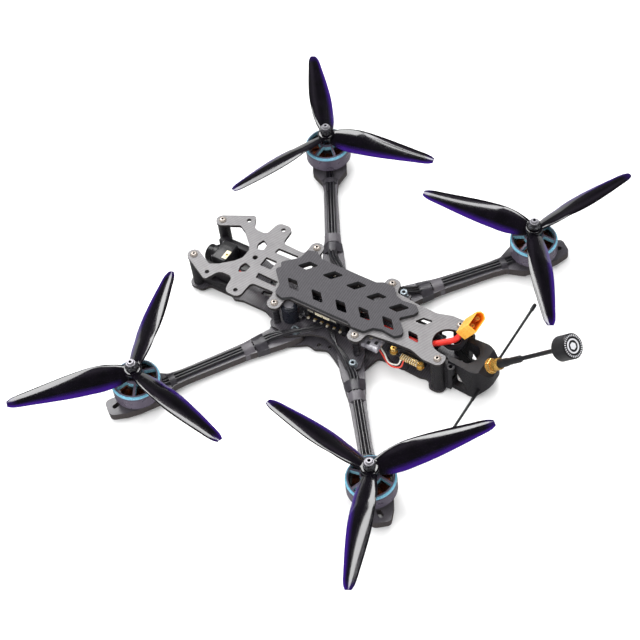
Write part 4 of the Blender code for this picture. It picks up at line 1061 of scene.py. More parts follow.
def blade_section(r):
    """Cambered section at radius r: (distance ahead of mid-chord, height) round the blade."""
    width = chord(r)
    if r > 86:
        width *= math.sqrt(max(0.0, 1 - ((r - 86) / 3.6) ** 2)) * 0.35 + 0.65
    thick = 2.6 - 1.75 * (r / PROP_RADIUS)
    upper, lower = [], []
    for i in range(15):
        f = 0.5 * (1 - math.cos(math.pi * i / 14))
        fat = math.sin(math.pi * f ** 0.62) ** 0.75 if 0 < f < 1 else 0.0
        camber = 0.062 * width * math.sin(math.pi * f)
        ahead = (0.5 - f) * width
        upper.append((ahead, camber + 0.5 * thick * (0.16 + 0.78 * fat)))
        lower.append((ahead, camber - 0.5 * thick * (0.16 + 0.46 * fat)))
    return upper + lower[::-1]


def clamp(value):
    return max(0.0, min(1.0, value))


def ease(value):
    return value * value * (3 - 2 * value)


def blade_attributes(mesh, direction):
    """thin: nearness to the trailing edge. lead: a band behind the leading edge on the upper
    faces, for a painted highlight.
    """
    thin = mesh.attributes.new("thin", "FLOAT", "POINT")
    lead = mesh.attributes.new("lead", "FLOAT", "POINT")
    thin_values, lead_highlight_values = [], []
    for vert in mesh.vertices:
        x, y = vert.co.x / MM, vert.co.y / MM
        r = math.hypot(x, y)
        a = math.atan2(y, x) % (TAU / 3)
        a = a - TAU / 3 if a > math.pi / 3 else a
        out = r * math.cos(a)
        ahead = r * math.sin(a) * direction
        f = 0.5 - ahead / max(chord(out) * math.cos(blade_angle(out)), 1e-3)
        fade = clamp((out - 9) / 8.0)
        width = 0.20 + 0.06 * min(1.0, out / PROP_RADIUS)
        edge = clamp((f - (1 - width)) / (width * 0.75))
        tip = max(0.0, (out - 82) / 7.0)
        thin_values.append(min(1.0, ease(edge) * fade + tip * 0.5))
        # the painted highlight band goes on the upper faces only
        upper = 1.0 if vert.normal.z > 0.05 else 0.0
        centre = 0.2 + 0.05 * out / PROP_RADIUS
        band = max(0.0, 1 - abs(f - centre) / 0.17)
        lead_highlight_values.append(ease(band) * fade * upper * clamp((88 - out) / 10))
    thin.data.foreach_set("value", thin_values)
    lead.data.foreach_set("value", lead_highlight_values)


def propeller_mesh(direction):
    """Three lofted blades joined to a turned hub. One blade lies along +X."""
    radii = [3.2 + i * 2.05 for i in range(41)] + [86.6, 88.0, PROP_RADIUS]
    blades = []
    for b in range(3):
        azimuth = TAU * b / 3
        out = Vector((math.cos(azimuth), math.sin(azimuth), 0))
        ahead = Vector((-math.sin(azimuth), math.cos(azimuth), 0)) * direction
        solid = Solid()
        rings = []
        for r in radii:
            cos, sin = math.cos(blade_angle(r)), math.sin(blade_angle(r))
            middle = Vector((0, 0, PROP_PLANE_Z - 1.9 * max(0.0, 1 - r / 30.0)))
            rings.append(solid.ring(
                (middle + out * r + ahead * (s * cos - h * sin)
                 + Vector((0, 0, s * sin + h * cos))) * MM
                for s, h in blade_section(r)))
        solid.loft(rings)
        blades.append((JOIN, solid.build("blade", PROP)))
    hub = Solid().turn([
        (2.75, 38.7), (5.5, 38.7), (6.1, 38.5), (6.5, 38.0), (6.6, 37.4), (6.6, SEAT_Z + 0.9),
        (6.2, SEAT_Z + HUB_GAP), (2.75, SEAT_Z + HUB_GAP)]).build("hub", PROP)
    carve(hub, blades)
    mesh = hub.data
    bpy.data.objects.remove(hub)
    blade_attributes(mesh, direction)
    return shade(mesh, 40)


def nut_mesh():
    """Bevelled hexagon under a round collar, its top face pale as a painted highlight."""
    solid = Solid()
    bore = SHAFT_R + 0.1
    solid.turn([(bore, 43.4), (4.2, 43.4), (4.65, 43.0), (4.68, 39.4), (4.2, 39.0),
                (bore, 39.0)], 6)
    bmesh.ops.bevel(solid.mesh, geom=list(solid.mesh.edges), offset=0.22 * MM, segments=2,
                    affect="EDGES", clamp_overlap=True)
    # the collar's top face takes the second material, a painted highlight
    solid.turn([(bore, 45.1, 1), (3.1, 45.1, 1), (3.4, 44.9), (3.55, 44.2), (3.6, 43.2),
                (bore, 43.2)], 40)
    return shade(solid.outward().to_mesh("nut", NUT, SILVER_AND_HIGHLIGHT), 30)


def shaft_mesh():
    """Threaded shaft with a socket in its top."""
    # the socket's floor takes the second material, painted shade
    solid = Solid().turn(
        [(0, 44.6, 1), (1.15, 44.6, 1), (1.15, SHAFT_TOP_Z), (2.0, SHAFT_TOP_Z),
         (2.35, SHAFT_TOP_Z - 0.3)]
        + grooves(SHAFT_TOP_Z - 0.6, 38.9, 0.62, [(2.35, 0), (2.1, 0.25), (2.35, 0.5)])
        + [(2.38, 38.6), (2.38, 10.4), (0, 10.4)], 32)
    return shade(solid.to_mesh("shaft", SILVER_AND_HIGHLIGHT, SOCKET_SHADE), 30)


BELL, MAGNETS, WINDINGS = bell_mesh(), magnets_mesh(), windings_mesh()
LOCK_NUT, SHAFT = nut_mesh(), shaft_mesh()
PROPELLERS = {direction: propeller_mesh(direction) for direction in (1, -1)}
BASE_PROFILE = [
    (2.9, 23.4), (4.6, 23.4), (4.9, 23.1), (4.9, 12.6), (5.4, 11.9), (7.0, 11.5), (11.6, 11.1),
    (12.3, 10.7), (12.6, 10.2), (12.6, ARM_Z[1] + 0.15), (12.3, ARM_Z[1]), (2.9, ARM_Z[1]),
]

for arm in ARMS:
    key = arm.key
    x, y, azimuth, direction = ROTORS[key]

    def place_copy(name, mesh, slot, *nodes, turn=0.0, body="rotor_" + key):
        place = at(x, y) @ spin(turn, "Z")
        put(new_object(name + key, mesh.copy(), matrix=place), slot, *nodes, body=body)

    place_copy("bell_shell_", BELL, "motor_bell", "bell_" + key, turn=15 + azimuth)
    place_copy("magnets_", MAGNETS, "motor_bell", turn=azimuth)
    place_copy("shaft_", SHAFT, "motor_bell")
    place_copy("propeller_moulding_", PROPELLERS[direction], "propeller", "propeller_" + key,
               turn=azimuth)
    place_copy("lock_nut_", LOCK_NUT, "prop_nut", "prop_nut_" + key, turn=azimuth)
    place_copy("windings_", WINDINGS, "stator", body="frame")
    # the CAD stator is kept, with or without a slot of its own
    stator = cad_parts["stator_" + key]
    for slot in stator.material_slots:
        slot.material = LAMINATED
    if not stator.material_slots:
        stator.data.materials.append(LAMINATED)
    # base with its bearing tube, and four screws from below
    base = Solid().turn(BASE_PROFILE, 64)
    put(base.build("motor_base_turned_" + key, BASE, matrix=at(x, y)),
        "motor_base", "motor_base_" + key)
    screws = Solid()
    for p in arm.motor_screws():
        screws.button_head(p.x, p.y, ARM_Z[0], up=False, radius=2.6, height=1.6)
    put(screws.build("motor_screws_" + key, SCREW, SOCKET_SHADE), "black_hardware")


# ---------------------------------------------------------------- motor leads and their tape
def phase_wires(arm):
    """Three wires from the motor along the arm to the stack."""
    pitch, root, side = 2.3, -arm.length, arm.side
    stack_end = Vector((side * 23.2, STACK_Y + (2.0 if arm.front else -7.0), 16.0))
    solid = Solid()
    for k in (-1, 0, 1):
        off = pitch * k
        # along, lift, off
        path = [arm.above(*row) for row in (
            (-13.6, 2.6, off * 0.8), (-18.6, 1.5, off), (-26, 1.35, off + 0.15 * k),
            (-44, 1.3, off), (root * 0.6, 1.35, off * 1.02), (root + 40, 1.5, off),
            (root + 33, 1.8, off), (root + 26, 2.8, off * 0.95))]
        path += [
            arm.above(root + 20, 4.6, off) * 0.7
            + (stack_end + Vector((side * 2.0, off, -0.6))) * 0.3,
            arm.above(root + 17, 5.2, off) * 0.35
            + (stack_end + Vector((side * 1.4, off, 0.6))) * 0.65,
            stack_end + Vector((-side * 3.4, off, 0.9)),
        ]
        solid.sweep(smooth_path(path), 1.12)
    put(solid.build("phase_wires_" + arm.key, WIRE, angle=60),
        "wire_black", "motor_leads_" + arm.key)


def arm_tape(arm, name, start, end, material, half_width, lift):
    """Tape round arm and wires; half_width is a function of the place along the arm."""
    solid = Solid()
    rings = []
    low, top = ARM_Z[0] - 0.05, ARM_Z[1]
    for j in range(7):
        u = start + (end - start) * j / 6
        wobble = 0.08 * math.sin(j * 2.1 + u)
        half = half_width(u)
        crest = top + lift
        section = [
            (half + 0.25, low), (half + 0.28, top - 0.2), (half * 0.86, top + 0.5),
            (3.9, crest - 0.9 + wobble), (3.0, crest - 0.25 + wobble), (1.2, crest - 0.1),
            (0.0, crest - 0.02), (-1.2, crest - 0.1), (-3.0, crest - 0.25 - wobble),
            (-3.9, crest - 0.9 - wobble), (-half * 0.86, top + 0.5), (-half - 0.28, top - 0.2),
            (-half - 0.25, low), (-half + 0.5, low - 0.15), (half - 0.5, low - 0.15),
        ]
        spots = [(arm.spot(u, off), z) for off, z in section]
        rings.append(solid.ring((p.x * MM, p.y * MM, z * MM) for p, z in spots))
    solid.loft(rings)
    put(solid.build(name + arm.key, material, angle=40), "wire_black")


for arm in ARMS:
    root = -arm.length

    def root_width(u):
        """Half width of the arm where it widens towards its root."""
        return 5.6 if u > root + 46 else 5.9 + (u - (root + 46)) * (8.6 - 5.9) / (-24.0)

    phase_wires(arm)
    arm_tape(arm, "arm_tape_root_", root + 39, root + 30, TAPE_DARK, root_width, 3.1)
    arm_tape(arm, "arm_tape_inner_", root + 48, root + 40, TAPE, lambda u: 5.8, 2.8)
    arm_tape(arm, "arm_tape_motor_", -27.0, -22.4, TAPE_DARK,
             lambda u: 5.5 + max(0.0, (u + 24.0)) * 0.9, 3.0)

# ---------------------------------------------------------------- electronics stack
# lower board: chips, pads, solder domes, socket
CHIP_I, TIN_I, CREAM_I, GOLD_I = 1, 2, 3, 4
esc = Solid().box((-18.6, STACK_Y - 20, 14.6), (18.6, STACK_Y + 20, 16.2), 0.3)
for side in (-1, 1):
    for i in range(6):
        x, y = side * 12.4, STACK_Y - 12.5 + i * 5.0
        esc.box((x - 2.1, y - 2.0, 16.1), (x + 2.1, y + 2.0, 17.3), 0.15, CHIP_I)
    for i in range(6):
        x, y = side * 17.8, STACK_Y - 13.6 + i * 5.4
        esc.box((x - 1.2, y - 1.2, 16.15), (x + 1.2, y + 1.0, 16.35), 0.1, GOLD_I)
        esc.turn([(0, 0.9), (0.6, 0.8), (1.0, 0.4), (1.2, 0), (0, -0.05)], 16, TIN_I,
                 at(side * 18.6, y - 0.3, 16.4))
for i in range(4):
    esc.box((-7.6 + i * 4.0, STACK_Y - 4, 16.1), (-4.4 + i * 4.0, STACK_Y + 4, 17.2), 0.15,
            CHIP_I)
for side in (-1, 1):
    esc.turn([(0, 2.0), (1.4, 1.8), (2.3, 1.0), (2.7, 0), (0, -0.05)], 20, TIN_I,
             at(side * 6.0, STACK_Y - 18.0, 16.1))
esc.box((-6.5, STACK_Y + 14.8, 16.1), (6.5, STACK_Y + 18.6, 19.0), 0.25, CREAM_I)
put(esc.build("esc_board_populated", PCB, CHIP, TIN, CREAM, GOLD), "circuit", "esc_board")

# upper board: four sockets with pins, chips, solder domes, a row of small parts
SILVER_I = 4
flight = Solid().box((-18.0, STACK_Y - 18, 24.6), (18.0, STACK_Y + 18, 26.2), 0.3)
for i in range(4):
    y = STACK_Y - 12.6 + i * 6.4
    flight.box((-19.6, y, 25.6), (-15.6, y + 5.6, 28.6), 0.25, CREAM_I if i in (1, 2) else CHIP_I)
    for j in range(5):
        flight.box((-19.9, y + 0.6 + j * 0.95, 27.0), (-18.8, y + 1.05 + j * 0.95, 28.75), 0.05,
                   TIN_I)
flight.box((-5.5, STACK_Y - 5.0, 26.1), (5.0, STACK_Y + 5.5, 27.5), 0.15, CHIP_I)
flight.box((7.2, STACK_Y - 8.0, 26.1), (12.0, STACK_Y - 3.5, 27.2), 0.1, CHIP_I)
flight.box((8.5, STACK_Y + 3.0, 26.1), (12.5, STACK_Y + 6.4, 27.2), 0.1, SILVER_I)
flight.box((-4.5, STACK_Y - 17.9, 26.1), (4.5, STACK_Y - 11.0, 29.1), 0.4, SILVER_I)
for i in range(7):
    flight.turn([(0, 0.7), (0.8, 0.5), (1.1, 0), (0, -0.05)], 14, TIN_I,
                at(17.0, STACK_Y - 12 + i * 4.0, 26.15))
for i in range(9):
    x = i * 2.3
    flight.box((x - 10.5, STACK_Y + 9.0, 26.1), (x - 9.3, STACK_Y + 9.8, 26.8), 0.05, SILVER_I)
put(flight.build("flight_controller_populated", PCB, CHIP, TIN, CREAM, SILVER_AND_HIGHLIGHT, GOLD),
    "circuit", "flight_controller")
button = Solid().turn([(0, 28.2), (0.8, 28.2), (1.15, 27.9), (1.15, 27.0), (0.9, 26.8),
                       (0, 26.8)], 24)
put(button.build("boot_button_cap", TAN, matrix=at(10.0, STACK_Y + 13.0)),
    "button", "boot_button", body="boot_button")

# video transmitter: board, finned heat sink, socket with pins, two round jacks, small parts
vtx = Solid().box((-15.5, -76.0, 13.0), (15.5, -45.0, 15.0), 0.3)
vtx.box((-14.0, -73.5, 14.9), (14.0, -54.0, 17.6), 0.3, 1)
for i in range(7):
    x = -13.8 + i * 4.4
    vtx.box((x, -73.5, 17.4), (x + 1.6, -54.0, 21.6), 0.25, 1)
vtx.box((-18.6, -70.6, 14.9), (-14.8, -57.2, 18.2), 0.3, 2)
for i in range(8):
    y = i * 1.62
    vtx.box((-18.9, -70.0 + y, 15.4), (-14.7, -69.1 + y, 18.5), 0.1, 3)
vtx.turn([(0, 3.6), (1.2, 3.6), (1.2, 3.9), (2.2, 3.7), (2.4, 3.2), (2.4, 0.8), (2.8, 0.6),
          (2.8, 0), (0, 0)], 28, 4, at(-16.9, -73.0, 14.6))
vtx.turn([(0, 3.6), (0.9, 3.6), (0.9, 5.0), (2.1, 5.0), (2.5, 4.6), (2.5, 2.6), (2.1, 2.3),
          (2.1, 1.6), (2.9, 1.3), (2.9, 0), (0, 0)], 24, 4, at(-14.6, -50.2, 15.0))
for i in range(5):
    vtx.box((-1.5 + i * 2.8, -53.2, 14.9), (0.3 + i * 2.8, -51.0, 16.2), 0.15, 5)
put(vtx.build("video_transmitter_finned", PCB, BLACK, CREAM, GOLD, GOLD, CHIP),
    "circuit", "video_transmitter")
button = Solid().box((-13.2, -49.8, 15.6), (-10.4, -47.0, 17.2), 0.35)
put(button.build("vtx_button_cap", TAN), "button", "vtx_button", body="vtx_button")

# receiver in clear heat-shrink
receiver = Solid().box((-26.0, -43.4, 21.4), (-12.4, -29.6, 25.2), 1.2, segments=4)
put(receiver.build("receiver_in_shrink", SHRINK, angle=50), "heat_shrink", "radio_receiver")
chips = Solid()
for i, (x, y) in enumerate(((-22.4, -34.6), (-17.6, -34.2), (-20.0, -39.6))):
    chips.box((x - 1.4, y - 1.2, 25.0), (x + 1.4, y + 1.2, 25.35), 0.1, i % 2)
put(chips.build("receiver_chips", CHIP, TIN), "circuit")

# capacitor
CAP_X, CAP_Y = -22.0, 32.4
can = Solid().turn([
    (0, 28.1), (3.6, 28.15), (4.3, 28.5), (5.2, 28.3), (5.9, 27.5), (6.1, 26.6), (5.75, 25.9),
    (5.75, 25.5), (6.1, 25.0), (6.1, 12.6), (5.5, 11.8), (0, 11.6)])
put(can.build("capacitor_can", SLEEVE, matrix=at(CAP_X, CAP_Y)), "black_plastic", "capacitor")
# painted highlight: a pale disc on the capacitor's top
cap_top = Solid().turn([(0, 28.35), (3.5, 28.3), (3.6, 28.0), (0, 28.0)], 32,
                       matrix=at(CAP_X, CAP_Y))
put(cap_top.build("capacitor_top", SILVER_AND_HIGHLIGHT), "motor_base")

# ---------------------------------------------------------------- small wires
# material index, then points
SIGNAL_WIRES = [
    (0, [(-15.5, STACK_Y - 10, 28.0), (-12.5, STACK_Y - 16, 27.6), (-13.5, -22, 25.2),
         (-15.0, -31.0, 24.0)]),
    (1, [(-15.5, STACK_Y - 11.2, 28.0), (-13.5, STACK_Y - 17, 27.2), (-14.6, -22, 24.6),
         (-16.4, -31.0, 23.6)]),
    (2, [(-15.5, STACK_Y - 9.0, 28.2), (-11.6, STACK_Y - 15, 27.2), (-12.4, -20, 24.2),
         (-13.6, -31.0, 23.2)]),
    (2, [(-15.5, STACK_Y - 4, 28.2), (-11.4, STACK_Y - 8, 28.4), (-10.0, -26, 22.0),
         (-11.6, -44, 19.0), (-12.0, -52.0, 16.2)]),
    (0, [(-15.5, STACK_Y + 1, 28.2), (-12.0, STACK_Y - 4, 28.6), (-8.2, -26, 21.4),
         (-9.0, -44, 18.6), (-9.4, -52.0, 16.2)]),
    (1, [(-15.5, STACK_Y + 2.6, 28.2), (-12.4, STACK_Y - 1, 28.8), (-7.0, -24, 20.6),
         (-6.8, -46, 17.8), (-6.8, -52.0, 16.2)]),
    (4, [(-15.5, STACK_Y + 9, 28.4), (-12.4, STACK_Y + 14, 27.6), (-9.4, 44.0, 22.0),
         (-6.0, 70.0, 14.0), (-4.0, 97.0, 12.0)]),
    (1, [(-15.5, STACK_Y + 10, 28.4), (-12.0, STACK_Y + 15.4, 27.2), (-8.2, 44.0, 21.0),
         (-5.0, 70.0, 13.0), (-2.4, 97.0, 11.0)]),
    (2, [(-15.5, STACK_Y + 11, 28.4), (-11.6, STACK_Y + 16.6, 26.8), (-7.0, 44.0, 20.0),
         (-4.0, 70.0, 12.0), (-0.8, 97.0, 10.6)]),
]
TRANSMITTER_WIRES = [
    (0, [(-19.0, -58.4, 16.2), (-22.4, -57.6, 14.0), (-22.6, -50.6, 12.4), (-18.0, -44.0, 14.0),
         (-14.0, -36.0, 16.0)]),
    (1, [(-19.0, -60.6, 16.2), (-23.2, -60.0, 13.4), (-23.8, -52.0, 11.4), (-19.0, -43.0, 13.0),
         (-14.0, -34.0, 15.0)]),
    (2, [(-19.0, -64.2, 16.2), (-22.8, -65.4, 13.6), (-22.2, -57.0, 10.8), (-18.0, -47.0, 11.4),
         (-13.0, -36.0, 14.0)]),
]
CAPACITOR_LEADS = [
    (i, [(CAP_X + 2.4 * s, CAP_Y, 12.2), (-21.4 + s, 26.6, 11.9), (-12.0 + 3 * s, 20.0, 12.6),
         (5.0 * s, STACK_Y - 10.0, 13.6), (6.0 * s, STACK_Y - 16.0, 13.9)])
    for i, s in ((1, -1), (0, 1))
]


def small_wires(name, rows, steps, radius, *materials):
    solid = Solid()
    for index, points in rows:
        solid.sweep(smooth_path(points, steps), radius, 8, index)
    put(solid.build(name, *materials, angle=60), "wire_black")


small_wires("signal_wires", SIGNAL_WIRES, 8, 0.55,
            WHITE_WIRE, RED, WIRE, YELLOW_WIRE, YELLOW_WIRE)
small_wires("capacitor_leads", CAPACITOR_LEADS, 6, 0.6, WIRE, WIRE)
small_wires("transmitter_wires", TRANSMITTER_WIRES, 7, 0.6, WHITE_WIRE, RED, WIRE)

# coax from the transmitter to the jack, and two thinner ones from the receiver
coax = Solid().sweep(smooth_path([
    (-14.6, -50.2, 18.6), (-13.0, -60.0, 22.8), (-8.0, -76.0, 23.4), (-4.6, -92.0, 20.0),
    (-1.6, -106.0, 17.0), SMA_SEAT - SMA_AXIS * 8.0], 8), 0.7, 10)
for s in (-1, 1):
    coax.sweep(smooth_path([
        (-16.0, -45.6, 23.4), (-13.0 + s, -60.0, 24.2), (6.6 * s, -84.0, 20.0),
        (6.0 * s, -100.0, 13.0), (4.0 * s, -112.0, 9.4)], 8), 0.5, 8, 1)
put(coax.build("antenna_coax", WIRE, BLACK, angle=60), "wire_black")

# ---------------------------------------------------------------- camera, looking along +Y
FORWARD = spin(-90, "X")
CASE_HALF = 9.5
case_top = CAM_Z + CASE_HALF
case = Solid().box((-CASE_HALF, 98.0, CAM_Z - CASE_HALF), (CASE_HALF, 110.5, case_top), 1.4,
                   segments=4)
case.turn([(6.3, 3.6), (7.5, 3.6), (8.0, 3.1), (8.0, 0.0), (6.3, 0.0)],
          matrix=at(0, 110.4, CAM_Z) @ FORWARD)
# glossy panel on top, with printed marks
case.box((-7.6, 99.4, case_top - 0.1), (7.6, 108.8, case_top + 0.01), 0.1, 4)
case.box((-6.6, 98.6, case_top - 0.1), (1.4, 102.6, case_top + 0.03), 0.1, 1)
for i in range(5):
    y = i * 1.6
    case.box((3.0, 100.6 + y, case_top - 0.05), (6.6, 101.3 + y, case_top + 0.04), 0.05)
case.box((-5.4, 99.4, case_top - 0.05), (-1.6, 101.2, case_top + 0.05), 0.05, 2)
for i in (-1, 1):
    for j in (-1, 1):
        case.turn([(0, 0.12), (0.45, 0.12), (0.5, 0.45), (0.9, 0.4), (1.0, 0), (0, -0.1)], 16, 3,
                  at(i * 7.6, 110.45, CAM_Z + j * 7.6) @ FORWARD)
put(case.build("camera_case", BLACK, CREAM, GOLD, SILVER_AND_HIGHLIGHT, BLACK_GLOSS),
    "black_plastic", "camera_body", body="camera")

lens_place = at(0, 111.4, CAM_Z) @ FORWARD
barrel = Solid().turn(
    [(5.0, 7.4), (5.3, 8.0), (6.2, 8.0), (6.5, 7.6), (6.6, 7.2)]
    + grooves(7.0, 4.2, 0.8, [(6.6, 0), (6.35, 0.15), (6.35, 0.45), (6.6, 0.6)])
    + [(6.6, 3.4), (5.9, 3.1), (5.9, -2.4), (4.6, -2.4), (4.6, 5.6)], 64, matrix=lens_place)
put(barrel.build("lens_barrel", BLACK), "lens", "camera_lens", body="lens")
glass = Solid().turn([(0, 7.1), (1.8, 7.0), (3.4, 6.6), (4.6, 6.0), (4.7, 5.4), (0, 5.2)],
                     matrix=lens_place)
put(glass.build("lens_glass", LENS, angle=60), "lens", body="lens")

# printed cheeks beside the camera, each hung on a nose standoff, and their screws
for side, tag in SIDES:
    nose_x, nose_y = STANDOFF_XY["nose"]
    low, high = BOTTOM_Z[1], TOP_Z[0]
    x = side * 12.8
    wall = Solid().box((x - 2.9, 90.0, low + 0.05), (x + 2.9, 117.3, 19.6), 0.7, segments=3)
    wall = wall.build("camera_cheek_" + tag, TPU)
    x = side * 17.0
    rib = Solid().box((x - 2.4, 88.5, low + 0.09), (x + 2.4, 116.0, 10.5), 0.8, segments=3)
    carve(wall, [
        (JOIN, drum(4.6, (low + 0.02, high - 0.05), side * nose_x, nose_y)),
        (JOIN, rib.build("tool", TPU)),
        (CUT, drum(STANDOFF_R + 0.1, (1.2, 34), side * nose_x, nose_y, 36)),
        (CUT, drum(1.9, (-6, 6), steps=32,
                   matrix=at(side * 13.0, CAM_Y, CAM_Z) @ spin(90, "Y"))),
    ])
    shade(wall.data, 35)
    put(wall, "tpu", "camera_bracket_" + tag)
    bolt = Solid().turn([
        (0, 7.0), (0.8, 7.0), (0.9, 7.9), (1.7, 7.7), (2.2, 7.1), (2.3, 6.3), (1.6, 6.1),
        (1.0, 6.1), (1.0, -1.0), (0, -1.0)], 24,
        matrix=at(side * 9.6, CAM_Y, CAM_Z) @ spin(90 * side, "Y"))
    put(bolt.build("camera_screw_" + tag, SCREW), "black_hardware", body="camera")

# ---------------------------------------------------------------- printed antenna mount
MOUNT_END_Y = -124.0
EYELET_X, EYELET_Y = 14.9, -96.4
WHISKER_Y, WHISKER_Z, WHISKER_TIP = -116.2, 9.0, 74.5
tail_x, tail_y = STANDOFF_XY["tail"]
plan = fillet([(-12.4, -92.6, 1), (-13.6, -112.0, 9), (-7.5, MOUNT_END_Y, 7),
               (7.5, MOUNT_END_Y, 7), (13.6, -112.0, 9), (12.4, -92.6, 1)])
mount = flat("antenna_mount_print", [plan], (0.0, 32.0), TPU, bevel=0.7)
steps = []
for side in (-1, 1):
    web = Solid().box((side * 13.0 - 3.4, -97.0, BOTTOM_Z[1] + 0.1),
                      (side * 13.0 + 3.4, -88.5, 27.0), 0.6, segments=3)
    steps += [
        (JOIN, drum(5.2, (BOTTOM_Z[1] + 0.1, TOP_Z[0] - 0.1), side * tail_x, tail_y)),
        (JOIN, web.build("tool", TPU)),
        (JOIN, drum(2.9, (8.0, 28.4), side * EYELET_X, EYELET_Y, 32)),
    ]
# sloping face under the jack, gently sloping top, slanted toe, and channel between the posts
slope_place = (Matrix.Translation(SMA_SEAT * MM + SMA_AXIS * 20.0 * MM) @ SMA_TURN
               @ at(0, 0, -20.0))
top_place = Matrix.Translation(Vector((0, -90.0, 45.6)) * MM) @ spin(3, "X")
toe = [(MOUNT_END_Y - 30.0, -30.0), (-106.0, -30.0), (-113.0, -0.6), (MOUNT_END_Y + 1.2, 11.5),
       (MOUNT_END_Y - 30.0, 48.0)]
channel = fillet([(-8.4, -80, 0), (-8.4, -106.0, 4), (-3.5, -109.5, 4), (3.5, -109.5, 4),
                  (8.4, -106.0, 4), (8.4, -80, 0)])
steps += [
    (CUT, Solid().box((-30, -30, 0), (30, 30, 40), 0).build("tool", TPU, matrix=slope_place)),
    (CUT, Solid().box((-30, -27, -15), (30, 27, 15), 0).build("tool", TPU, matrix=top_place)),
    (CUT, flat("tool", [toe], (-30.0, 30.0), TPU, bevel=0, matrix=SIDEWAYS)),
    (CUT, flat("tool", [channel], (-6.0, 60.0), TPU, bevel=0)),
]
side_window = fillet([(-97.8, 4.8, 1.5), (-97.8, 24.4, 1.5), (-109.0, 5.2, 1.5)])
for side in (-1, 1):
    steps += [
        (CUT, flat("tool", [side_window], (-4.5, 4.5), TPU, bevel=0,
                   matrix=at(side * 12.4, 0) @ SIDEWAYS)),
        (CUT, drum(STANDOFF_R + 0.1, (-5, 40), side * tail_x, tail_y, 32)),
        (CUT, drum(1.4, (18, 40), side * EYELET_X, EYELET_Y, 24)),
    ]
# bores for the jack and the whiskers
bore_place = Matrix.Translation(SMA_SEAT * MM - SMA_AXIS * 3.0 * MM) @ SMA_TURN
steps += [
    (CUT, drum(3.3, (-14, 8), steps=32, matrix=bore_place)),
    (CUT, drum(1.35, (-30, 30), steps=24, matrix=at(0, WHISKER_Y, WHISKER_Z) @ spin(90, "Y"))),
]
carve(mount, steps)
shade(mount.data, 35)
put(mount, "tpu", "antenna_mount")

# ---------------------------------------------------------------- antennas
jack = Solid().turn(
    [(0, 8.6), (2.7, 8.6), (3.0, 8.3)]
    + grooves(8.1, 2.8, 0.55, [(3.02, 0), (2.75, 0.22), (3.02, 0.44)])
    + [(3.05, 2.4), (3.6, 2.35), (4.6, 2.2), (4.6, 0.3), (3.15, 0.1), (3.15, -6.0), (0, -6.0)],
    40, 0, JACK)
jack.turn([(3.2, 2.7), (5.0, 2.65), (5.3, 2.4), (5.3, 1.0), (5.0, 0.8), (3.2, 0.75)], 6, 0, JACK)
jack.turn([(3.2, 0.75), (5.5, 0.7), (5.6, 0.5), (5.6, 0.12), (3.2, 0.1)], 36, 0, JACK)
put(jack.build("sma_jack_threaded", GOLD), "gold", "sma_jack")


def knurled_ring(solid, z):
    """Ring of 72 points, every third one raised."""
    points = []
    for i in range(72):
        radius = 4.2 if i % 3 == 0 else 4.02
        cos, sin = spoke(i, 72)
        points.append(JACK @ Vector((radius * MM * cos, radius * MM * sin, z * MM)))
    return solid.ring(points)


coupling = Solid()
outer = [coupling.round_ring(4.0, 10.6, 72, JACK), knurled_ring(coupling, 10.3),
         knurled_ring(coupling, 4.5), coupling.round_ring(4.0, 4.2, 72, JACK)]
inner = [coupling.round_ring(3.35, z, 72, JACK) for z in (10.6, 4.2)]
rings = outer + inner[::-1]
for upper, lower in zip(rings, rings[1:] + rings[:1]):
    coupling.band(upper, lower)
put(coupling.build("coupling_nut_knurled", GOLD), "gold", "antenna_coupling_nut",
    body="coupling_nut")

# video antenna: stem and round head, heights along the jack's axis
STEM, HEAD_LENGTH, HEAD_RADIUS = 73.5, 12.85, 8.6
tip = STEM + HEAD_LENGTH
antenna = Solid().turn([
    (0, tip - 0.35), (6.0, tip - 0.35), (6.1, tip), (HEAD_RADIUS - 0.7, tip),
    (HEAD_RADIUS, tip - 0.7), (HEAD_RADIUS, STEM + 1.0), (HEAD_RADIUS - 0.7, STEM),
    (2.6, STEM - 0.5), (2.2, STEM - 2.5), (1.6, STEM - 4.0), (1.55, 34.0), (2.3, 32.6),
    (2.5, 32.0), (2.5, 20.0), (2.9, 18.6), (3.0, 18.0), (3.0, 8.9), (0, 8.9)], 64, 0, JACK)
put(antenna.build("video_antenna", BLACK), "black_plastic", "vtx_antenna", body="antenna")
marks = Solid()
for i in range(30):
    marks.box((-0.6, -0.3, -0.1), (0.6, 0.3, 0.1), 0.04,
              matrix=JACK @ spin(12 * i, "Z") @ at(7.0, 0, tip - 0.02))
marks.turn([(4.0, tip - 0.05), (4.9, tip - 0.05), (5.0, tip - 0.36), (3.9, tip - 0.36)],
           matrix=JACK)
marks.turn([(0, tip - 0.08), (2.5, tip - 0.1), (2.6, tip - 0.37), (0, tip - 0.37)], 6, 0, JACK)
put(marks.build("antenna_cap_marks", PRINT), "black_plastic", body="antenna")

for side, tag in SIDES:
    whisker = Solid().turn([
        (0, WHISKER_TIP), (0.9, WHISKER_TIP - 0.1), (1.35, WHISKER_TIP - 0.6),
        (1.45, WHISKER_TIP - 1.6), (1.45, WHISKER_TIP - 6.0), (1.05, WHISKER_TIP - 6.8),
        (1.0, WHISKER_TIP - 30), (0.95, 22.0), (1.2, 20.5), (1.25, 3.0), (0, 3.0)], 20,
        matrix=at(0, WHISKER_Y, WHISKER_Z) @ spin(90 * side, "Y"))
    put(whisker.build("receiver_whisker_" + tag, BLACK, angle=40),
        "black_plastic", "receiver_antenna_" + tag)

# ---------------------------------------------------------------- battery plug and leads
# the plug is drawn standing on its back face, then tilted into place
PLUG_PIN_X = 3.6
PLUG = Matrix.Translation(Vector((12.6, -93.5, 38.6)) * MM) @ spin(33.0, "X")


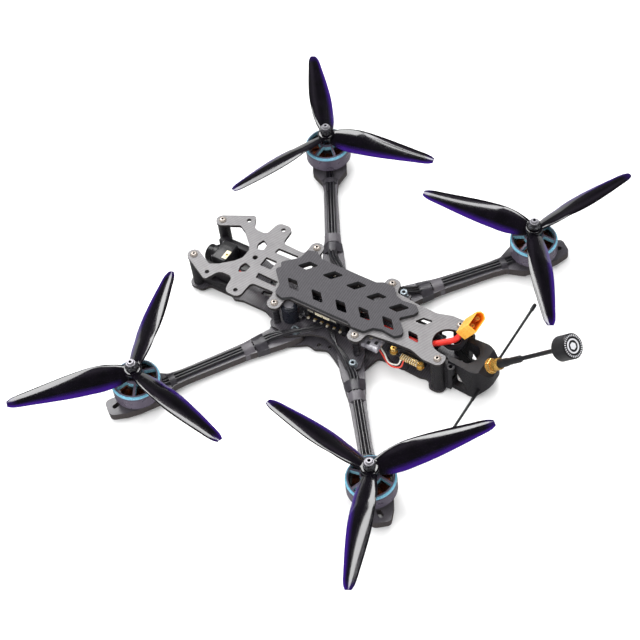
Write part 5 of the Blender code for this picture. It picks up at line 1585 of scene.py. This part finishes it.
def plug_outline(half, across, chamfer):
    return fillet([
        (-half, -across, 0.5), (half - chamfer, -across, 0.8), (half, chamfer - across, 0.8),
        (half, across - chamfer, 0.8), (half - chamfer, across, 0.8), (-half, across, 0.5)], 15)


plug = flat("battery_plug_housing", [plug_outline(8.0, 4.1, 2.6)], (0, 16.4), YELLOW, ORANGE_SHADE,
            bevel=0.3)
mouth = flat("tool", [plug_outline(7.1, 3.2, 2.2)], (5.0, 20.0), YELLOW, ORANGE_SHADE, bevel=0)
# the mouth's inner faces take the painted shade
steps = [(CUT, paint(mouth, 1))]
for s in (-1, 1):
    x = s * PLUG_PIN_X
    steps += [(JOIN, drum(2.9, (-0.8, 1.0), x, steps=32, material=YELLOW)),
              (CUT, drum(2.05, (-5.0, 3.0), x, steps=32, material=YELLOW))]
carve(plug, steps)
shade(plug.data, 30)
plug.matrix_world = PLUG
put(plug, "plug_yellow", "battery_plug")
# raised frame on the square end wall
border = Solid()
for y in (-2.9, 2.5):
    border.box((-8.02, y, 1.4), (-7.9, y + 0.4, 15.0), 0.05)
for z in (1.4, 14.6):
    border.box((-8.02, -2.9, z), (-7.9, 2.9, z + 0.4), 0.05)
put(border.build("plug_end_frame", YELLOW, matrix=PLUG), "plug_yellow")
for s, tag in ((-1, "negative"), (1, "positive")):
    contact = Solid().turn([
        (0, 12.6), (0.7, 12.9), (1.3, 13.9), (1.62, 13.6), (1.75, 12.8), (1.75, 4.9), (0, 4.9)],
        28, matrix=at(s * PLUG_PIN_X, 0))
    put(contact.build("plug_contact_" + tag, GOLD, matrix=PLUG), "gold")

# tag, material, slot, side, last bends before the plug
LEADS = [
    ("positive", RED, "wire_red", -1,
     [(-3.0, -75.4, 27.0), (0.6, -83.2, 29.8), (4.6, -89.8, 32.6)]),
    ("negative", WIRE, "wire_black", 1,
     [(4.6, -77.0, 25.0), (1.6, -87.2, 25.4), (3.6, -94.4, 29.0), (8.0, -95.3, 32.9),
      (13.2, -94.2, 34.2)]),
]
for tag, material, slot, s, bends in LEADS:
    end, near = ((PLUG @ Vector((s * PLUG_PIN_X * MM, 0, z * MM))) / MM for z in (2.4, -2.8))
    path = smooth_path([
        (s * 6.0, -12.6, 17.2), (s * 6.0, -16.0, 20.8), (s * 6.0, -32.0, 24.6),
        (s * 6.4, -52.0, 25.6), (s * 5.8, -69.0, 25.6), *bends, tuple(near)], 7)
    path += [tuple(near * 0.6 + end * 0.4), tuple(end)]
    # the lead narrows where it enters the plug
    shoulder = len(path) - 4
    radii = [1.9 if i > shoulder else min(2.15, 1.9 + 0.06 * (shoulder - i))
             for i in range(len(path))]
    lead = Solid().sweep(path, radii, 20)
    put(lead.build("battery_lead_sleeve_" + tag, material, angle=60), slot, "battery_lead_" + tag)

low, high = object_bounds()

# ---------------------------------------------------------------- floor, light and camera (m)
bpy.ops.mesh.primitive_plane_add(size=14.0, location=(0, 0, -0.0022))
floor = bpy.context.object
floor.name = "floor"
floor.data.materials.append(pale_floor())


def studio_world():
    """White surroundings, which glossy surfaces see as dim and darker overhead."""
    world = bpy.data.worlds.new("studio")
    bpy.context.scene.world = world
    world.use_nodes = True
    tree = world.node_tree
    glossy = add_node(tree, "LightPath").outputs["Is Glossy Ray"]
    direction = add_node(tree, "TexCoord").outputs["Generated"]
    height = add_node(tree, "SeparateXYZ", {0: direction}).outputs[2]
    dim = remap_node(tree, height, span=(0.0, 0.5), to=(0.11, 0.03))
    strength = add_node(tree, "Mix", {0: glossy, 2: 1.0, 3: dim}).outputs[0]
    background = tree.nodes["Background"]
    feed(tree, background.inputs[0], (1, 1, 1))
    feed(tree, background.inputs[1], strength)


def softbox(name, place, size, power, glossy=True):
    """Area light aimed just above the floor's centre."""
    light = bpy.data.lights.new(name, "AREA")
    light.shape = "RECTANGLE"
    light.size, light.size_y = size
    light.energy = power
    ob = new_object(name, light)
    ob.location = place
    ob.rotation_mode = "QUATERNION"
    aim = Vector((0, 0, 0.02)) - Vector(place)
    ob.rotation_quaternion = aim.to_track_quat("-Z", "Y")
    ob.visible_glossy = glossy


def studio_camera():
    """Camera set by its bearing, elevation and roll round a point above the floor."""
    bearing, elevation, roll = (math.radians(a) for a in (307, 51.33, -6.92))
    target, distance = Vector((0, 0, 0.037)), 1.1053
    back = Vector((math.sin(bearing) * math.cos(elevation),
                   -math.cos(bearing) * math.cos(elevation), math.sin(elevation)))
    level = (-back).cross(Vector((0, 0, 1))).normalized()
    upright = level.cross(-back)
    right = level * math.cos(roll) + upright * math.sin(roll)
    up = -level * math.sin(roll) + upright * math.cos(roll)
    camera = bpy.data.cameras.new("camera")
    camera.sensor_width = 36.0
    camera.lens = 87.215625
    camera.shift_x = -0.03453125
    camera.shift_y = -0.04375
    camera.clip_start, camera.clip_end = 0.05, 40.0
    ob = new_object("camera", camera)
    place = target + back * distance
    ob.matrix_world = Matrix((*zip(right, up, back, place), (0, 0, 0, 1)))
    bpy.context.scene.camera = ob


studio_world()
softbox("softbox_far", place=(0.66, 1.27, 1.85), size=(0.9, 1.3), power=30)
softbox("softbox_high", place=(0.972, 0.33, 2.09), size=(0.62, 0.62), power=12)
softbox("softbox_left", place=(-1.6, 0.3, 1.5), size=(1.4, 1.4), power=24, glossy=False)
softbox("softbox_top", place=(0.0, -0.2, 2.4), size=(2.0, 2.0), power=24, glossy=False)
studio_camera()
bpy.context.scene.view_settings.view_transform = "Standard"
